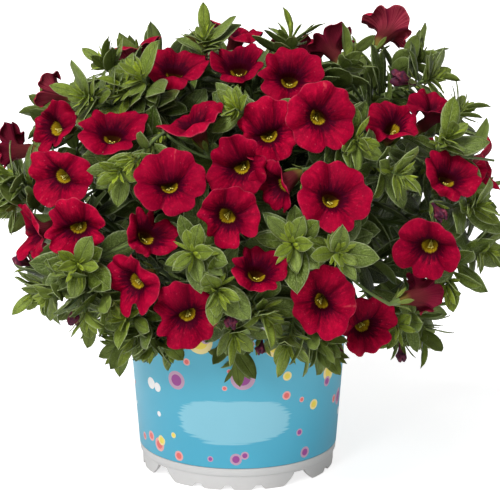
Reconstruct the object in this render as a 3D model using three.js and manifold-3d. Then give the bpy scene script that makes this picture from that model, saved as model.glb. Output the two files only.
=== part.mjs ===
// A calibrachoa in a printed plastic pot, in millimetres, +Z up.
// The origin is the middle of the pot's foot on the surface it stands on, and the front faces -Y.
import * as THREE from 'three';
import { mergeVertices } from 'three/addons/utils/BufferGeometryUtils.js';
import Module from 'manifold-3d';

const wasm = await Module();
wasm.setup();

// Pot: a 13 cm, one litre nursery pot with a wrapped sleeve
const POT_HEIGHT = 100;
const POT_SIDES = 28;
const WALL_BASE_RADIUS = 56.1;
const WALL_SLOPE = 0.0735;
const WALL_THICKNESS = 1.8;
const FOOT_BOTTOM_RADIUS = 55.2;
const FOOT_WALL = 1.7;
const FOOT_WALL_TAPER = 0.5;
const CREASE_DEPTH = 1.3;
const CREASE_RISE = 0.4;
const BAND_INSET = 0.2;
const FOOT_CREASE_HEIGHT = 8.6;
const FLOOR_UNDERSIDE = 7.4;
const FLOOR_TOP = 9.2;
const SLEEVE_BOTTOM = 13.5;
const SLEEVE_TOP = 90;
const SLEEVE_THICKNESS = 0.5;
const RIM_BOTTOM = 92;
const RIM_LIP = 1.4;
const RIM_CHAMFER = 0.8;
const ARCH_COUNT = 4;
const ARCH_HEIGHT = 7.2;
const ARCH_BOTTOM_WIDTH = 22;
const ARCH_TOP_WIDTH = 8;
const FOOT_PATTERN_TURN = -5.6;
const NOTCH_STEP = 18;
const NOTCH_HEIGHT = 2.5;
const NOTCH_BOTTOM_WIDTH = 8;
const NOTCH_TOP_WIDTH = 3.5;
const CUT_START = 46;
const CUT_DEPTH = 16;
const DRAIN_COUNT = 4;
const DRAIN_RADIUS = 4;
const DRAIN_CIRCLE = 38;
const DRAIN_LENGTH = 6;
const GAP = 0.3;

// Soil, with a plain hole for each woody stem
const SOIL_TOP = 90;
const SOIL_CROWN = 1;
const SOIL_EDGE_DROP = 2;
const SOIL_SHOULDER = 0.6;
const WOODY_STEMS = [[-20, -14], [18, -17], [-15, 18], [21, 13]];
const WOODY_RADIUS = 2.2;
const WOODY_BOTTOM = 58;
const WOODY_CLEARANCE = 0.6;
const WOODY_TOP_DROP = 20;

// Mound of foliage: an ellipsoid, deeper above its middle than below
const MOUND = new THREE.Vector3(4, 0, 155);
const MOUND_WIDE = 146;
const MOUND_DEEP = 138;
const MOUND_UP = 98;
const MOUND_DOWN = 88;
const CORE_REACH = 0.5;
const FORK_REACH = 0.62;
const TRUNK_START_REACH = 0.4;
const TRUNK_OVERRUN = 2;
const CORE_RIPPLE = 0.06;

// Sight lines for the places that are read from the front
const AIM = new THREE.Vector3(7, 0, 125);
const SIGHT_DISTANCE = 1300;
const SIGHT_RISE = THREE.MathUtils.degToRad(14);

// Bloom: a funnel with a limb of five lobes, in its own frame with the limb facing +Z
const LIMB_POINTS = 15;
const LIMB_FRONT = 0.5;
const LIMB_BACK = -0.4;
const THROAT_RADIUS = 5;
const THROAT_DEPTH = -4.6;
const PIT_DEPTH = -12;
const SHOULDER_RADIUS = 5.8;
const SHOULDER_DEPTH = -6.4;
const TUBE_RADIUS = 2;
const TUBE_DEPTH = -19;
const LOBE_NOTCH = 0.9;
const LIMB_WAVE = 1.1;
const CALYX_LENGTH = 6;
const CALYX_RADIUS = 3.1;
const PEDICEL_RADIUS = 0.8;
const BUD_SLENDERNESS = 0.24;
const BUD_FOOT = 0.55;
const BUD_HEAD = 0.3;
const BUD_SEED = 200;

// Stems and leaves
const STEM_RADIUS = 1.3;
const STEM_STEPS = 3;
const TRUNK_RADIUS = 1.9;
const FORK_STEP = 2.4;
const LEAF_KEEL = 0.7;
const LEAF_FOLD = 0.12;
const LEAF_ROOT = 0.5;
const OUTER_START = 4;
const LEAF_TRIES = 12;
const LEAF_TRY_TURN = 51;
const LEAF_TURN_RANGE = 60;
const LEAF_SPREAD_RANGE = 14;
const SHORT_LEAF = 0.8;
const BEND_TRIES = 7;
const BEND_RISE = 0.08;
const BEND_REACH = 0.3;
const STALK_BEND_PLACE = 0.6;
const STALK_BEND_DIP = 0.18;
const ANCHOR_TRIES = 30;
const ANCHOR_NEAREST = 10;
const ANCHOR_PLACES = [0.15, 0.3, 0.45, 0.6, 0.75];
const CLEARANCE = 0.35;
const FUSE_TOLERANCE = 0.08;
const MERGE_TOLERANCE = 0.0001;
const GOLDEN_ANGLE = 137.5;
const SPIRAL_RANGE = 1.45;

// Open blooms on the front: across and up on the sight plane, reach, turn and tilt, diameter
const FRONT_BLOOMS = [
  ['far_left_trumpet', -116, 93, 1.0, -100, 20, 26],
  ['left_top', -114, 71, 1.0, -40, 15, 34],
  ['left_edge_high', -137, 59, 0.97, -110, 5, 30],
  ['left_shoulder', -79, 69, 1.0, -5, 52, 38],
  ['left_middle', -109, 42, 1.0, -25, 5, 38],
  ['left_lower', -100, 13, 0.99, -10, 0, 35],
  ['top_left', -43, 106, 0.99, 5, 64, 39],
  ['upper_left_edgewise', -34, 76, 0.98, -68, 64, 39],
  ['middle_left', -46, 39, 1.0, 3, 25, 40],
  ['low_left_tucked', -56, 10, 0.97, 30, 25, 32],
  ['left_edge_low', -125, 11, 0.97, -65, -5, 34],
  ['top_middle', -7, 107, 0.985, -8, 50, 31],
  ['centre_low', -13, 19, 1.0, -6, 0, 36],
  ['centre_back', -7, 48, 0.93, -15, 5, 36],
  ['top_right_of_middle', 23, 100, 1.0, 3, 35, 38],
  ['upper_middle', 41, 76, 1.07, 10, 5, 39],
  ['centre_high', 10, 68, 0.96, -4, 22, 38],
  ['right_of_centre', 48, 31, 1.0, 15, 25, 41],
  ['right_shoulder', 81, 74, 0.99, 10, 52, 33],
  ['right_edgewise', 104, 81, 0.97, 60, 60, 32],
  ['right_middle', 115, 44, 1.0, 28, 42, 34],
  ['right_edge', 137, 50, 0.97, 80, 5, 34],
  ['right_lower', 101, 0, 1.0, -15, -15, 37],
  ['top_right_back', 79, 128, 1.0, 150, 35, 34],
  ['top_back', 46, 119, 0.98, -150, 45, 30],
  ['centre_sideways', 14, 36, 0.93, -50, -15, 30],
  ['lower_left', -68, -19, 1.0, -35, -5, 38],
  ['bottom_left', -37, -37, 1.02, -5, 0, 39],
  ['low_middle', 5, -10, 1.0, 12, 42, 31],
  ['bottom_right', 42, -30, 1.02, 0, 0, 41],
  ['bottom_far_right', 67, -43, 1.0, 25, 0, 36],
  ['low_right_back', 99, -24, 0.98, 130, 5, 28],
];
const FUSED_BLOOMS = [['centre_high', 'centre_back', 'centre_sideways']];
const REAR_BLOOMS = 13;
const REAR_BLOOM_REACH = 0.97;
const REAR_BLOOM_SPACING = 57;
const REAR_BLOOM_DIAMETER = 36;
const REAR_BLOOM_SMALLEST = 0.92;
const REAR_BLOOM_RANGE = 0.16;
const REAR_BLOOM_LEAN = 0.6;
const REAR_BLOOM_SEED = 100;
const REAR_START = 12;
const REAR_SAMPLES = 400;
const REAR_STRIDE = 149;

// Spent and closed blooms: across, up, reach, turn, tilt, length
const BUDS = [
  ['spent_top', 88, 97, 0.98, -60, 20, 16],
  ['spent_right', 107, 22, 0.98, 30, -30, 13],
  ['spent_left_hanging', -100, -36, 1.0, -20, -75, 13],
  ['bud_left', -128, -7, 0.98, -60, 30, 14],
  ['spent_low_middle', -10, -38, 1.02, -20, -50, 12],
  ['spent_low_right', 50, -57, 1.0, -10, -60, 14],
  ['spent_far_right', 86, -58, 1.0, 10, -70, 11],
  ['spent_bottom', 6, -54, 1.0, -10, -50, 10],
];

// Leafy tips on the front: across and up on the sight plane, and reach
const FRONT_TIPS = [
  [-26, 121, 1.05], [23, 121, 1.05], [-83, 106, 1.03], [-95, 88, 1.05], [-72, 92, 1.0],
  [-62, 99, 1.04], [-8, 80, 1.0], [-138, 44, 1.04], [-75, 44, 1.0], [-66, 50, 1.03],
  [-140, 25, 1.02], [56, 110, 1.02], [97, 110, 1.04], [106, 98, 1.04], [62, 62, 1.0],
  [87, 42, 1.02], [113, 66, 1.02], [130, 25, 1.02], [-122, -24, 1.04], [-99, -8, 1.04],
  [-66, -50, 1.02], [-33, -2, 1.02], [-19, -24, 1.03], [50, -2, 1.03], [24, 3, 1.0],
  [98, -48, 1.02], [22, -54, 1.04], [134, 0, 1.02], [8, -38, 1.0], [-9, -48, 1.0],
];
const REAR_TIPS = 24;
const REAR_TIP_REACH = 1.0;
const REAR_TIP_SPACING = 45;
const REAR_TIP_SINK = 0.25;

// Leafy stems that rise from the crown: azimuth from the front toward +X, and elevation
const BRANCHES = [
  [-145, 6], [-98, -2], [-52, -6], [-12, -8], [26, -8], [68, -4], [112, 2], [165, 8],
  [-46, 36], [26, 36], [90, 42], [-150, 60],
];
const LEAF_PLACES = [0.45, 0.66, 0.82, 0.94, 1.0];
const LEAF_SPREADS = [64, 58, 50, 40, 12];
const LEAF_LENGTHS = [31, 30, 27, 22, 18];
const LEAF_SLENDERNESS = 0.4;
const LEAF_SHORTEST = 0.9;
const LEAF_LENGTH_RANGE = 0.2;
const LEAF_DROOP = 0.12;
const LEAF_DROOP_RANGE = 0.12;
const BLADE_PLACES = [0, 0.13, 0.5, 1];
const BLADE_WIDTHS = [0, 0.22, 1, 0];
const BLADE_SIDES = [1, 0, -1, 1];
const CROWN_LEAVES = 38;
const CROWN_LEAF_LENGTH = 34;
const CROWN_LEAF_ROOT = 9;
const CROWN_LEAF_SPREAD = 30;
const CROWN_LEAF_SPREAD_RANGE = 25;
const CROWN_LEAF_DROOP = 0.15;
const CROWN_LEAF_SEED = 900;

const COLOURS = {
  pot: [0xd8d6d5, 0.45],
  sleeve: [0x5ab4d0, 0.4],
  soil: [0x3a2a1e, 0.95],
  crown: [0x2c4420, 0.8],
  leaf: [0x55743a, 0.7],
  bloom: [0xc0102e, 0.6],
};

function material([colour, roughness]) {
  return new THREE.MeshStandardMaterial({ color: colour, roughness, metalness: 0 });
}

// A repeatable number from 0 to 1 for a thing, its part and the try
function draw(thing, part, attempt, which) {
  let state = (thing * 7919 + part * 613 + attempt * 97 + which * 31 + 12345) % 2147483647;
  for (let turn = 0; turn < 3; turn += 1) {
    state = (state * 16807) % 2147483647;
  }
  return state / 2147483647;
}

function direction(azimuth, elevation) {
  const turn = THREE.MathUtils.degToRad(azimuth);
  const tilt = THREE.MathUtils.degToRad(elevation);
  const level = Math.cos(tilt);
  return new THREE.Vector3(Math.sin(turn) * level, -Math.cos(turn) * level, Math.sin(tilt));
}

// Two unit vectors square to an axis
function sidesOf(axis) {
  const reference = Math.abs(axis.z) > 0.95 ? new THREE.Vector3(1, 0, 0) : new THREE.Vector3(0, 0, 1);
  const first = new THREE.Vector3().crossVectors(reference, axis).normalize();
  const second = new THREE.Vector3().crossVectors(axis, first);
  return [first, second];
}

function moundPoint(outward, reach) {
  const height = outward.z > 0 ? MOUND_UP : MOUND_DOWN;
  const radii = new THREE.Vector3(MOUND_WIDE, MOUND_DEEP, height).multiplyScalar(reach);
  const scaled = outward.clone().divide(radii);
  return outward.clone().multiplyScalar(1 / scaled.length()).add(MOUND);
}

// Where a sight line first meets the mound, or the mound beside its nearest pass
function sightPoint(across, up, reach) {
  const forward = new THREE.Vector3(0, Math.cos(SIGHT_RISE), -Math.sin(SIGHT_RISE));
  const raised = new THREE.Vector3(0, Math.sin(SIGHT_RISE), Math.cos(SIGHT_RISE));
  const eye = AIM.clone().addScaledVector(forward, -SIGHT_DISTANCE);
  const target = AIM.clone().addScaledVector(raised, up);
  target.x += across;
  const line = target.sub(eye).normalize();
  let height = MOUND_UP;
  let point = null;
  for (let pass = 0; pass < 2; pass += 1) {
    const radii = new THREE.Vector3(MOUND_WIDE, MOUND_DEEP, height).multiplyScalar(reach);
    const start = eye.clone().sub(MOUND).divide(radii);
    const step = line.clone().divide(radii);
    const middle = -start.dot(step) / step.dot(step);
    const inside = middle * middle - (start.dot(start) - 1) / step.dot(step);
    point = eye.clone().addScaledVector(line, middle - Math.sqrt(Math.max(inside, 0)));
    height = point.z < MOUND.z ? MOUND_DOWN : MOUND_UP;
  }
  return point;
}

// Solids

function solidOf(geometry) {
  geometry.deleteAttribute('normal');
  geometry.deleteAttribute('uv');
  const merged = mergeVertices(geometry, MERGE_TOLERANCE);
  const source = merged.index.array;
  const kept = [];
  for (let corner = 0; corner < source.length; corner += 3) {
    const [a, b, c] = [source[corner], source[corner + 1], source[corner + 2]];
    if (a !== b && b !== c && c !== a) {
      kept.push(a, b, c);
    }
  }
  return new wasm.Manifold(new wasm.Mesh({
    numProp: 3,
    vertProperties: new Float32Array(merged.attributes.position.array),
    triVerts: new Uint32Array(kept),
  }));
}

function meshOf(solid, name, look) {
  const result = solid.getMesh();
  const geometry = new THREE.BufferGeometry();
  geometry.setAttribute('position', new THREE.BufferAttribute(result.vertProperties, 3));
  geometry.setIndex(new THREE.BufferAttribute(result.triVerts, 1));
  geometry.computeVertexNormals();
  const mesh = new THREE.Mesh(geometry, material(look));
  mesh.name = name;
  return mesh;
}

function fuse(solids) {
  return wasm.Manifold.union(solids).simplify(FUSE_TOLERANCE);
}

function spun(profile, sides) {
  const points = profile.map(([radius, height]) => new THREE.Vector2(radius, height));
  const geometry = new THREE.LatheGeometry(points, sides);
  geometry.rotateX(Math.PI / 2);
  return geometry;
}

function tube(curve, radius, sides, steps) {
  const outline = [];
  for (let side = 0; side < sides; side += 1) {
    const angle = (side + 0.5) * 2 * Math.PI / sides;
    outline.push(new THREE.Vector2(radius * Math.cos(angle), radius * Math.sin(angle)));
  }
  const shape = new THREE.Shape(outline);
  return solidOf(new THREE.ExtrudeGeometry(shape, { steps, extrudePath: curve, bevelEnabled: false }));
}

function framed(geometry, place, axis, roll) {
  const [first, second] = sidesOf(axis);
  const across = first.clone().multiplyScalar(Math.cos(roll)).addScaledVector(second, Math.sin(roll));
  const upward = new THREE.Vector3().crossVectors(axis, across);
  const matrix = new THREE.Matrix4().makeBasis(across, upward, axis).setPosition(place);
  geometry.applyMatrix4(matrix);
  return geometry;
}

// Pot, sleeve and soil

function wallRadius(height) {
  return WALL_BASE_RADIUS + WALL_SLOPE * height;
}

function trapezoidCut(bottomWidth, topWidth, height, azimuth) {
  const shape = new THREE.Shape([
    new THREE.Vector2(-bottomWidth / 2, -1),
    new THREE.Vector2(bottomWidth / 2, -1),
    new THREE.Vector2(bottomWidth / 2, 0),
    new THREE.Vector2(topWidth / 2, height),
    new THREE.Vector2(-topWidth / 2, height),
    new THREE.Vector2(-bottomWidth / 2, 0),
  ]);
  const geometry = new THREE.ExtrudeGeometry(shape, { depth: CUT_DEPTH, bevelEnabled: false });
  geometry.rotateX(Math.PI / 2);
  geometry.translate(0, -CUT_START, 0);
  geometry.rotateZ(THREE.MathUtils.degToRad(azimuth));
  return solidOf(geometry);
}

function makePot() {
  const recess = SLEEVE_THICKNESS + GAP;
  const inner = (height) => wallRadius(height) - WALL_THICKNESS;
  let pot = solidOf(spun([
    [0, FLOOR_UNDERSIDE],
    [FOOT_BOTTOM_RADIUS - FOOT_WALL - FOOT_WALL_TAPER, FLOOR_UNDERSIDE],
    [FOOT_BOTTOM_RADIUS - FOOT_WALL, 0],
    [FOOT_BOTTOM_RADIUS, 0],
    [wallRadius(FOOT_CREASE_HEIGHT) - CREASE_DEPTH, FOOT_CREASE_HEIGHT],
    [wallRadius(FOOT_CREASE_HEIGHT) - BAND_INSET, FOOT_CREASE_HEIGHT + CREASE_RISE],
    [wallRadius(SLEEVE_BOTTOM - GAP), SLEEVE_BOTTOM - GAP],
    [wallRadius(SLEEVE_BOTTOM) - recess, SLEEVE_BOTTOM - GAP],
    [wallRadius(SLEEVE_TOP) - recess, SLEEVE_TOP + GAP],
    [wallRadius(RIM_BOTTOM), SLEEVE_TOP + GAP],
    [wallRadius(RIM_BOTTOM) + RIM_LIP, RIM_BOTTOM],
    [wallRadius(POT_HEIGHT) + RIM_LIP, POT_HEIGHT - RIM_CHAMFER],
    [wallRadius(POT_HEIGHT) + RIM_LIP - RIM_CHAMFER, POT_HEIGHT],
    [inner(POT_HEIGHT), POT_HEIGHT],
    [inner(FLOOR_TOP), FLOOR_TOP],
    [0, FLOOR_TOP],
  ], POT_SIDES));
  for (let lobe = 0; lobe < ARCH_COUNT; lobe += 1) {
    const middle = FOOT_PATTERN_TURN + lobe * 360 / ARCH_COUNT;
    const arch = trapezoidCut(ARCH_BOTTOM_WIDTH, ARCH_TOP_WIDTH, ARCH_HEIGHT, middle + 180 / ARCH_COUNT);
    pot = pot.subtract(arch);
    for (const step of [-NOTCH_STEP, 0, NOTCH_STEP]) {
      pot = pot.subtract(trapezoidCut(NOTCH_BOTTOM_WIDTH, NOTCH_TOP_WIDTH, NOTCH_HEIGHT, middle + step));
    }
  }
  for (let drain = 0; drain < DRAIN_COUNT; drain += 1) {
    const angle = (drain + 0.5) * 2 * Math.PI / DRAIN_COUNT;
    const hole = new THREE.CylinderGeometry(DRAIN_RADIUS, DRAIN_RADIUS, DRAIN_LENGTH, 6);
    hole.rotateX(Math.PI / 2);
    hole.translate(DRAIN_CIRCLE * Math.cos(angle), DRAIN_CIRCLE * Math.sin(angle), FLOOR_TOP - 1);
    pot = pot.subtract(solidOf(hole));
  }
  return pot;
}

function makeSleeve() {
  return solidOf(spun([
    [wallRadius(SLEEVE_BOTTOM) - SLEEVE_THICKNESS, SLEEVE_BOTTOM],
    [wallRadius(SLEEVE_BOTTOM), SLEEVE_BOTTOM],
    [wallRadius(SLEEVE_TOP), SLEEVE_TOP],
    [wallRadius(SLEEVE_TOP) - SLEEVE_THICKNESS, SLEEVE_TOP],
    [wallRadius(SLEEVE_BOTTOM) - SLEEVE_THICKNESS, SLEEVE_BOTTOM],
  ], POT_SIDES));
}

function makeSoil() {
  const edge = (height) => wallRadius(height) - WALL_THICKNESS - GAP;
  let soil = solidOf(spun([
    [0, FLOOR_TOP + GAP],
    [edge(FLOOR_TOP), FLOOR_TOP + GAP],
    [edge(SOIL_TOP), SOIL_TOP - SOIL_EDGE_DROP],
    [edge(SOIL_TOP) * SOIL_SHOULDER, SOIL_TOP],
    [0, SOIL_TOP + SOIL_CROWN],
  ], POT_SIDES));
  for (const [x, y] of WOODY_STEMS) {
    const depth = POT_HEIGHT - WOODY_BOTTOM;
    const radius = WOODY_RADIUS + WOODY_CLEARANCE;
    const hole = new THREE.CylinderGeometry(radius, radius, depth, 8);
    hole.rotateX(Math.PI / 2);
    hole.translate(x, y, WOODY_BOTTOM - GAP + depth / 2);
    soil = soil.subtract(solidOf(hole));
  }
  return soil;
}

// Blooms

function limbScale(index) {
  return index % 3 === 0 ? LOBE_NOTCH : 1;
}

function limbLift(seed, index) {
  const angle = index * 2 * Math.PI / LIMB_POINTS;
  const phase = 2 * Math.PI * draw(seed, 1, 0, 1);
  return LIMB_WAVE * Math.cos(2 * angle + phase);
}

// The rings near the axis have five corners, and the limb's two edges fifteen
function makeBloom(bloom) {
  const edge = bloom.diameter / 2;
  const rings = [
    [0, TUBE_DEPTH],
    [TUBE_RADIUS, TUBE_DEPTH],
    [SHOULDER_RADIUS, SHOULDER_DEPTH],
    [edge, LIMB_BACK],
    [edge, LIMB_FRONT],
    [THROAT_RADIUS, THROAT_DEPTH],
    [0, PIT_DEPTH],
  ];
  const geometry = spun(rings, LIMB_POINTS);
  const position = geometry.attributes.position;
  for (let index = 0; index < position.count; index += 1) {
    const around = Math.floor(index / rings.length) % LIMB_POINTS;
    const [radius, height] = rings[index % rings.length];
    const onLimb = radius === edge;
    const corner = onLimb ? around : Math.round(around / 3) * 3;
    const angle = corner * 2 * Math.PI / LIMB_POINTS;
    const reach = onLimb ? radius * limbScale(around) : radius;
    const lift = onLimb ? limbLift(bloom.seed, around) : 0;
    position.setXYZ(index, reach * Math.cos(angle), reach * Math.sin(angle), height + lift);
  }
  flipIfInward(geometry);
  framed(geometry, bloom.place, bloom.axis, bloom.roll);
  return solidOf(geometry);
}

// Turns every triangle over when the corners run clockwise seen from outside
function flipIfInward(geometry) {
  const position = geometry.attributes.position;
  const order = geometry.index;
  let volume = 0;
  for (let corner = 0; corner < order.count; corner += 3) {
    const [a, b, c] = [0, 1, 2].map((step) => (
      new THREE.Vector3().fromBufferAttribute(position, order.getX(corner + step))
    ));
    volume += a.dot(b.cross(c));
  }
  if (volume < 0) {
    for (let corner = 0; corner < order.count; corner += 3) {
      const second = order.getX(corner + 1);
      order.setX(corner + 1, order.getX(corner + 2));
      order.setX(corner + 2, second);
    }
  }
}

function frontBlooms() {
  return FRONT_BLOOMS.map(([name, across, up, reach, turn, tilt, diameter], seed) => ({
    name,
    seed,
    place: sightPoint(across, up, reach),
    axis: direction(turn, tilt),
    diameter,
    roll: 2 * Math.PI * draw(seed, 0, 0, 2),
  }));
}

// Evenly spread directions over the mound, from the top down
function spiralDirection(index, count) {
  const height = 1 - SPIRAL_RANGE * (index + 0.5) / count;
  const level = Math.sqrt(1 - height * height);
  const turn = THREE.MathUtils.degToRad(index * GOLDEN_ANGLE);
  return new THREE.Vector3(level * Math.cos(turn), level * Math.sin(turn), height);
}

// Places on the rear and the far sides, each clear of all that were chosen before
function rearPlaces(count, spacing, reach, taken) {
  const chosen = [];
  for (let index = 0; index < REAR_SAMPLES && chosen.length < count; index += 1) {
    const outward = spiralDirection((index * REAR_STRIDE) % REAR_SAMPLES, REAR_SAMPLES);
    const place = moundPoint(outward, reach);
    const rear = place.y > MOUND.y + REAR_START;
    if (rear && [...taken, ...chosen].every((other) => other.distanceTo(place) > spacing)) {
      chosen.push(place);
    }
  }
  return chosen;
}

function rearBlooms(front) {
  const taken = front.map((bloom) => bloom.place);
  return rearPlaces(REAR_BLOOMS, REAR_BLOOM_SPACING, REAR_BLOOM_REACH, taken).map((place, index) => {
    const seed = REAR_BLOOM_SEED + index;
    const lean = new THREE.Vector3(draw(seed, 0, 0, 3) - 0.5, draw(seed, 0, 0, 4) - 0.5, 0.2);
    return {
      name: `rear_${index + 1}`,
      seed,
      place,
      axis: place.clone().sub(MOUND).normalize().addScaledVector(lean, REAR_BLOOM_LEAN).normalize(),
      diameter: REAR_BLOOM_DIAMETER * (REAR_BLOOM_SMALLEST + REAR_BLOOM_RANGE * draw(seed, 0, 0, 5)),
      roll: 2 * Math.PI * draw(seed, 0, 0, 2),
    };
  });
}

// Everything placed so far, each solid with its box and its owner

const placed = [];

function settle(solid, owner, stem) {
  placed.push({ solid, owner, stem, box: solid.boundingBox() });
}

function boxesMeet(one, other) {
  return [0, 1, 2].every((axis) => one.min[axis] <= other.max[axis] && one.max[axis] >= other.min[axis]);
}

function isClear(solid, ignored) {
  const box = solid.boundingBox();
  for (const other of placed) {
    if (!ignored(other) && boxesMeet(box, other.box) && !solid.intersect(other.solid).isEmpty()) {
      return false;
    }
  }
  return true;
}

// Stems

function bentCurve(start, end, attempt) {
  const axis = end.clone().sub(start);
  const length = axis.length();
  const [first, second] = sidesOf(axis.clone().normalize());
  const middle = start.clone().lerp(end, 0.5);
  middle.z += BEND_RISE * length;
  if (attempt > 0) {
    const angle = attempt * 2 * Math.PI / (BEND_TRIES - 1);
    middle.addScaledVector(first, BEND_REACH * length * Math.cos(angle));
    middle.addScaledVector(second, BEND_REACH * length * Math.sin(angle));
  }
  return new THREE.QuadraticBezierCurve3(start, middle, end);
}

function makeBranches() {
  return BRANCHES.map(([azimuth, elevation], index) => {
    const outward = direction(azimuth, elevation);
    const root = moundPoint(outward, TRUNK_START_REACH);
    const fork = moundPoint(outward, FORK_REACH);
    const curve = new THREE.LineCurve3(root, fork.clone().addScaledVector(outward, TRUNK_OVERRUN));
    return { index, outward, fork, curve, solids: [tube(curve, TRUNK_RADIUS, 4, 1)], forks: 0 };
  });
}

function nearestBranch(branches, place) {
  const outward = place.clone().sub(MOUND).normalize();
  let best = branches[0];
  for (const branch of branches) {
    if (branch.outward.dot(outward) > best.outward.dot(outward)) {
      best = branch;
    }
  }
  return best;
}

function growStem(branch, seed, tip) {
  const start = branch.fork.clone().addScaledVector(branch.outward, -1 - FORK_STEP * branch.forks);
  branch.forks += 1;
  for (let attempt = 0; attempt < BEND_TRIES; attempt += 1) {
    const curve = bentCurve(start, tip, attempt);
    const fat = tube(curve, STEM_RADIUS + CLEARANCE, 3, STEM_STEPS);
    if (isClear(fat, (other) => other.owner === branch.index)) {
      const solid = tube(curve, STEM_RADIUS, 3, STEM_STEPS);
      const stem = { seed, knots: curve.getSpacedPoints(STEM_STEPS), branch };
      branch.solids.push(solid);
      settle(solid, branch.index, seed);
      return stem;
    }
  }
  return null;
}

// A place from 0 to 1 along the straight pieces of a stem, with its direction there
function along(stem, place) {
  const scaled = Math.min(place * STEM_STEPS, STEM_STEPS - 0.001);
  const piece = Math.floor(scaled);
  const [start, end] = [stem.knots[piece], stem.knots[piece + 1]];
  return {
    point: start.clone().lerp(end, scaled - piece),
    axis: end.clone().sub(start).normalize(),
  };
}

// The place on each stem that a flower stalk can leave from, nearest first
function anchorsFor(stems, foot) {
  const anchors = [];
  for (const stem of stems) {
    for (const place of ANCHOR_PLACES) {
      const { point } = along(stem, place);
      anchors.push({ stem, point, distance: point.distanceTo(foot) });
    }
  }
  anchors.sort((one, other) => one.distance - other.distance);
  return anchors.filter((anchor) => anchor.distance > ANCHOR_NEAREST);
}

// A four-sided stalk through the knots, with a radius at each; the sides never twist
function makeStalk(knots, radii) {
  const geometry = new THREE.CylinderGeometry(1, 1, 1, 4, knots.length - 1);
  const position = geometry.attributes.position;
  const axis = knots.at(-1).clone().sub(knots.at(-2)).normalize();
  const [first] = sidesOf(axis);
  for (let index = 0; index < position.count; index += 1) {
    const row = Math.round((0.5 - position.getY(index)) * (knots.length - 1));
    const before = knots[Math.max(row - 1, 0)];
    const after = knots[Math.min(row + 1, knots.length - 1)];
    const forward = after.clone().sub(before).normalize();
    const across = first.clone().addScaledVector(forward, -first.dot(forward)).normalize();
    const upward = new THREE.Vector3().crossVectors(forward, across);
    const point = knots[row].clone();
    point.addScaledVector(across, radii[row] * position.getX(index));
    point.addScaledVector(upward, radii[row] * position.getZ(index));
    position.setXYZ(index, point.x, point.y, point.z);
  }
  flipIfInward(geometry);
  return solidOf(geometry);
}

// The stalk's knots: its root on the stem, a bend, the foot of the calyx or bud, and the head
function stalkKnots(anchor, foot, head) {
  const axis = head.clone().sub(foot).normalize();
  const middle = anchor.clone().lerp(foot, STALK_BEND_PLACE);
  middle.addScaledVector(axis, -STALK_BEND_DIP * anchor.distanceTo(foot));
  return [anchor, middle, foot, head];
}

function growStalk(stems, seed, foot, head, radii, extras) {
  for (const anchor of anchorsFor(stems, foot).slice(0, ANCHOR_TRIES)) {
    const knots = stalkKnots(anchor.point, foot, head);
    const fat = makeStalk(knots, radii.map((radius) => radius + CLEARANCE));
    const branch = anchor.stem.branch;
    const own = (other) => other.owner === branch.index || other.owner === `bloom${seed}`;
    if ([fat, ...extras].every((solid) => isClear(solid, own))) {
      for (const piece of [makeStalk(knots, radii), ...extras]) {
        branch.solids.push(piece);
        settle(piece, branch.index, `stalk${seed}`);
      }
      return;
    }
  }
}

function growBloomStalk(stems, bloom) {
  const head = bloom.place.clone().addScaledVector(bloom.axis, TUBE_DEPTH - GAP);
  const foot = head.clone().addScaledVector(bloom.axis, -CALYX_LENGTH);
  const radii = [PEDICEL_RADIUS, PEDICEL_RADIUS, PEDICEL_RADIUS + 0.3, CALYX_RADIUS];
  growStalk(stems, bloom.seed, foot, head, radii, []);
}

function growBud(stems, index) {
  const [, across, up, reach, turn, tilt, length] = BUDS[index];
  const middle = sightPoint(across, up, reach);
  const axis = direction(turn, tilt);
  const spindle = new THREE.SphereGeometry(1, 5, 4);
  spindle.rotateX(Math.PI / 2);
  spindle.scale(length * BUD_SLENDERNESS, length * BUD_SLENDERNESS, length / 2);
  const bud = solidOf(framed(spindle, middle, axis, 0));
  const foot = middle.clone().addScaledVector(axis, -length * BUD_FOOT);
  const head = middle.clone().addScaledVector(axis, -length * BUD_HEAD);
  const radii = [PEDICEL_RADIUS, PEDICEL_RADIUS, PEDICEL_RADIUS, PEDICEL_RADIUS + 0.3];
  growStalk(stems, BUD_SEED + index, foot, head, radii, [bud]);
}

// Leaves

// A blade from a sphere's rows: pointed at both ends, keeled along the midrib, drooping to the tip
function makeBlade(plan, extra) {
  const geometry = new THREE.SphereGeometry(1, 3, 3);
  const position = geometry.attributes.position;
  const columns = BLADE_SIDES.length;
  const length = plan.length + extra;
  const half = plan.length * LEAF_SLENDERNESS / 2 + extra;
  for (let index = 0; index < position.count; index += 1) {
    const row = Math.floor(index / columns);
    const column = index % columns;
    const share = BLADE_PLACES[row];
    const across = BLADE_SIDES[column] * half * BLADE_WIDTHS[row];
    const keel = BLADE_SIDES[column] === 0 && BLADE_WIDTHS[row] > 0;
    const face = keel ? -LEAF_KEEL - extra : LEAF_FOLD * Math.abs(across) + extra;
    const droop = -plan.droop * plan.length * share * share;
    position.setXYZ(index, across, share * length, face + droop);
  }
  flipIfInward(geometry);
  const side = new THREE.Vector3().crossVectors(plan.heading, plan.face);
  const matrix = new THREE.Matrix4().makeBasis(side, plan.heading, plan.face).setPosition(plan.base);
  geometry.applyMatrix4(matrix);
  return solidOf(geometry);
}

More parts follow.
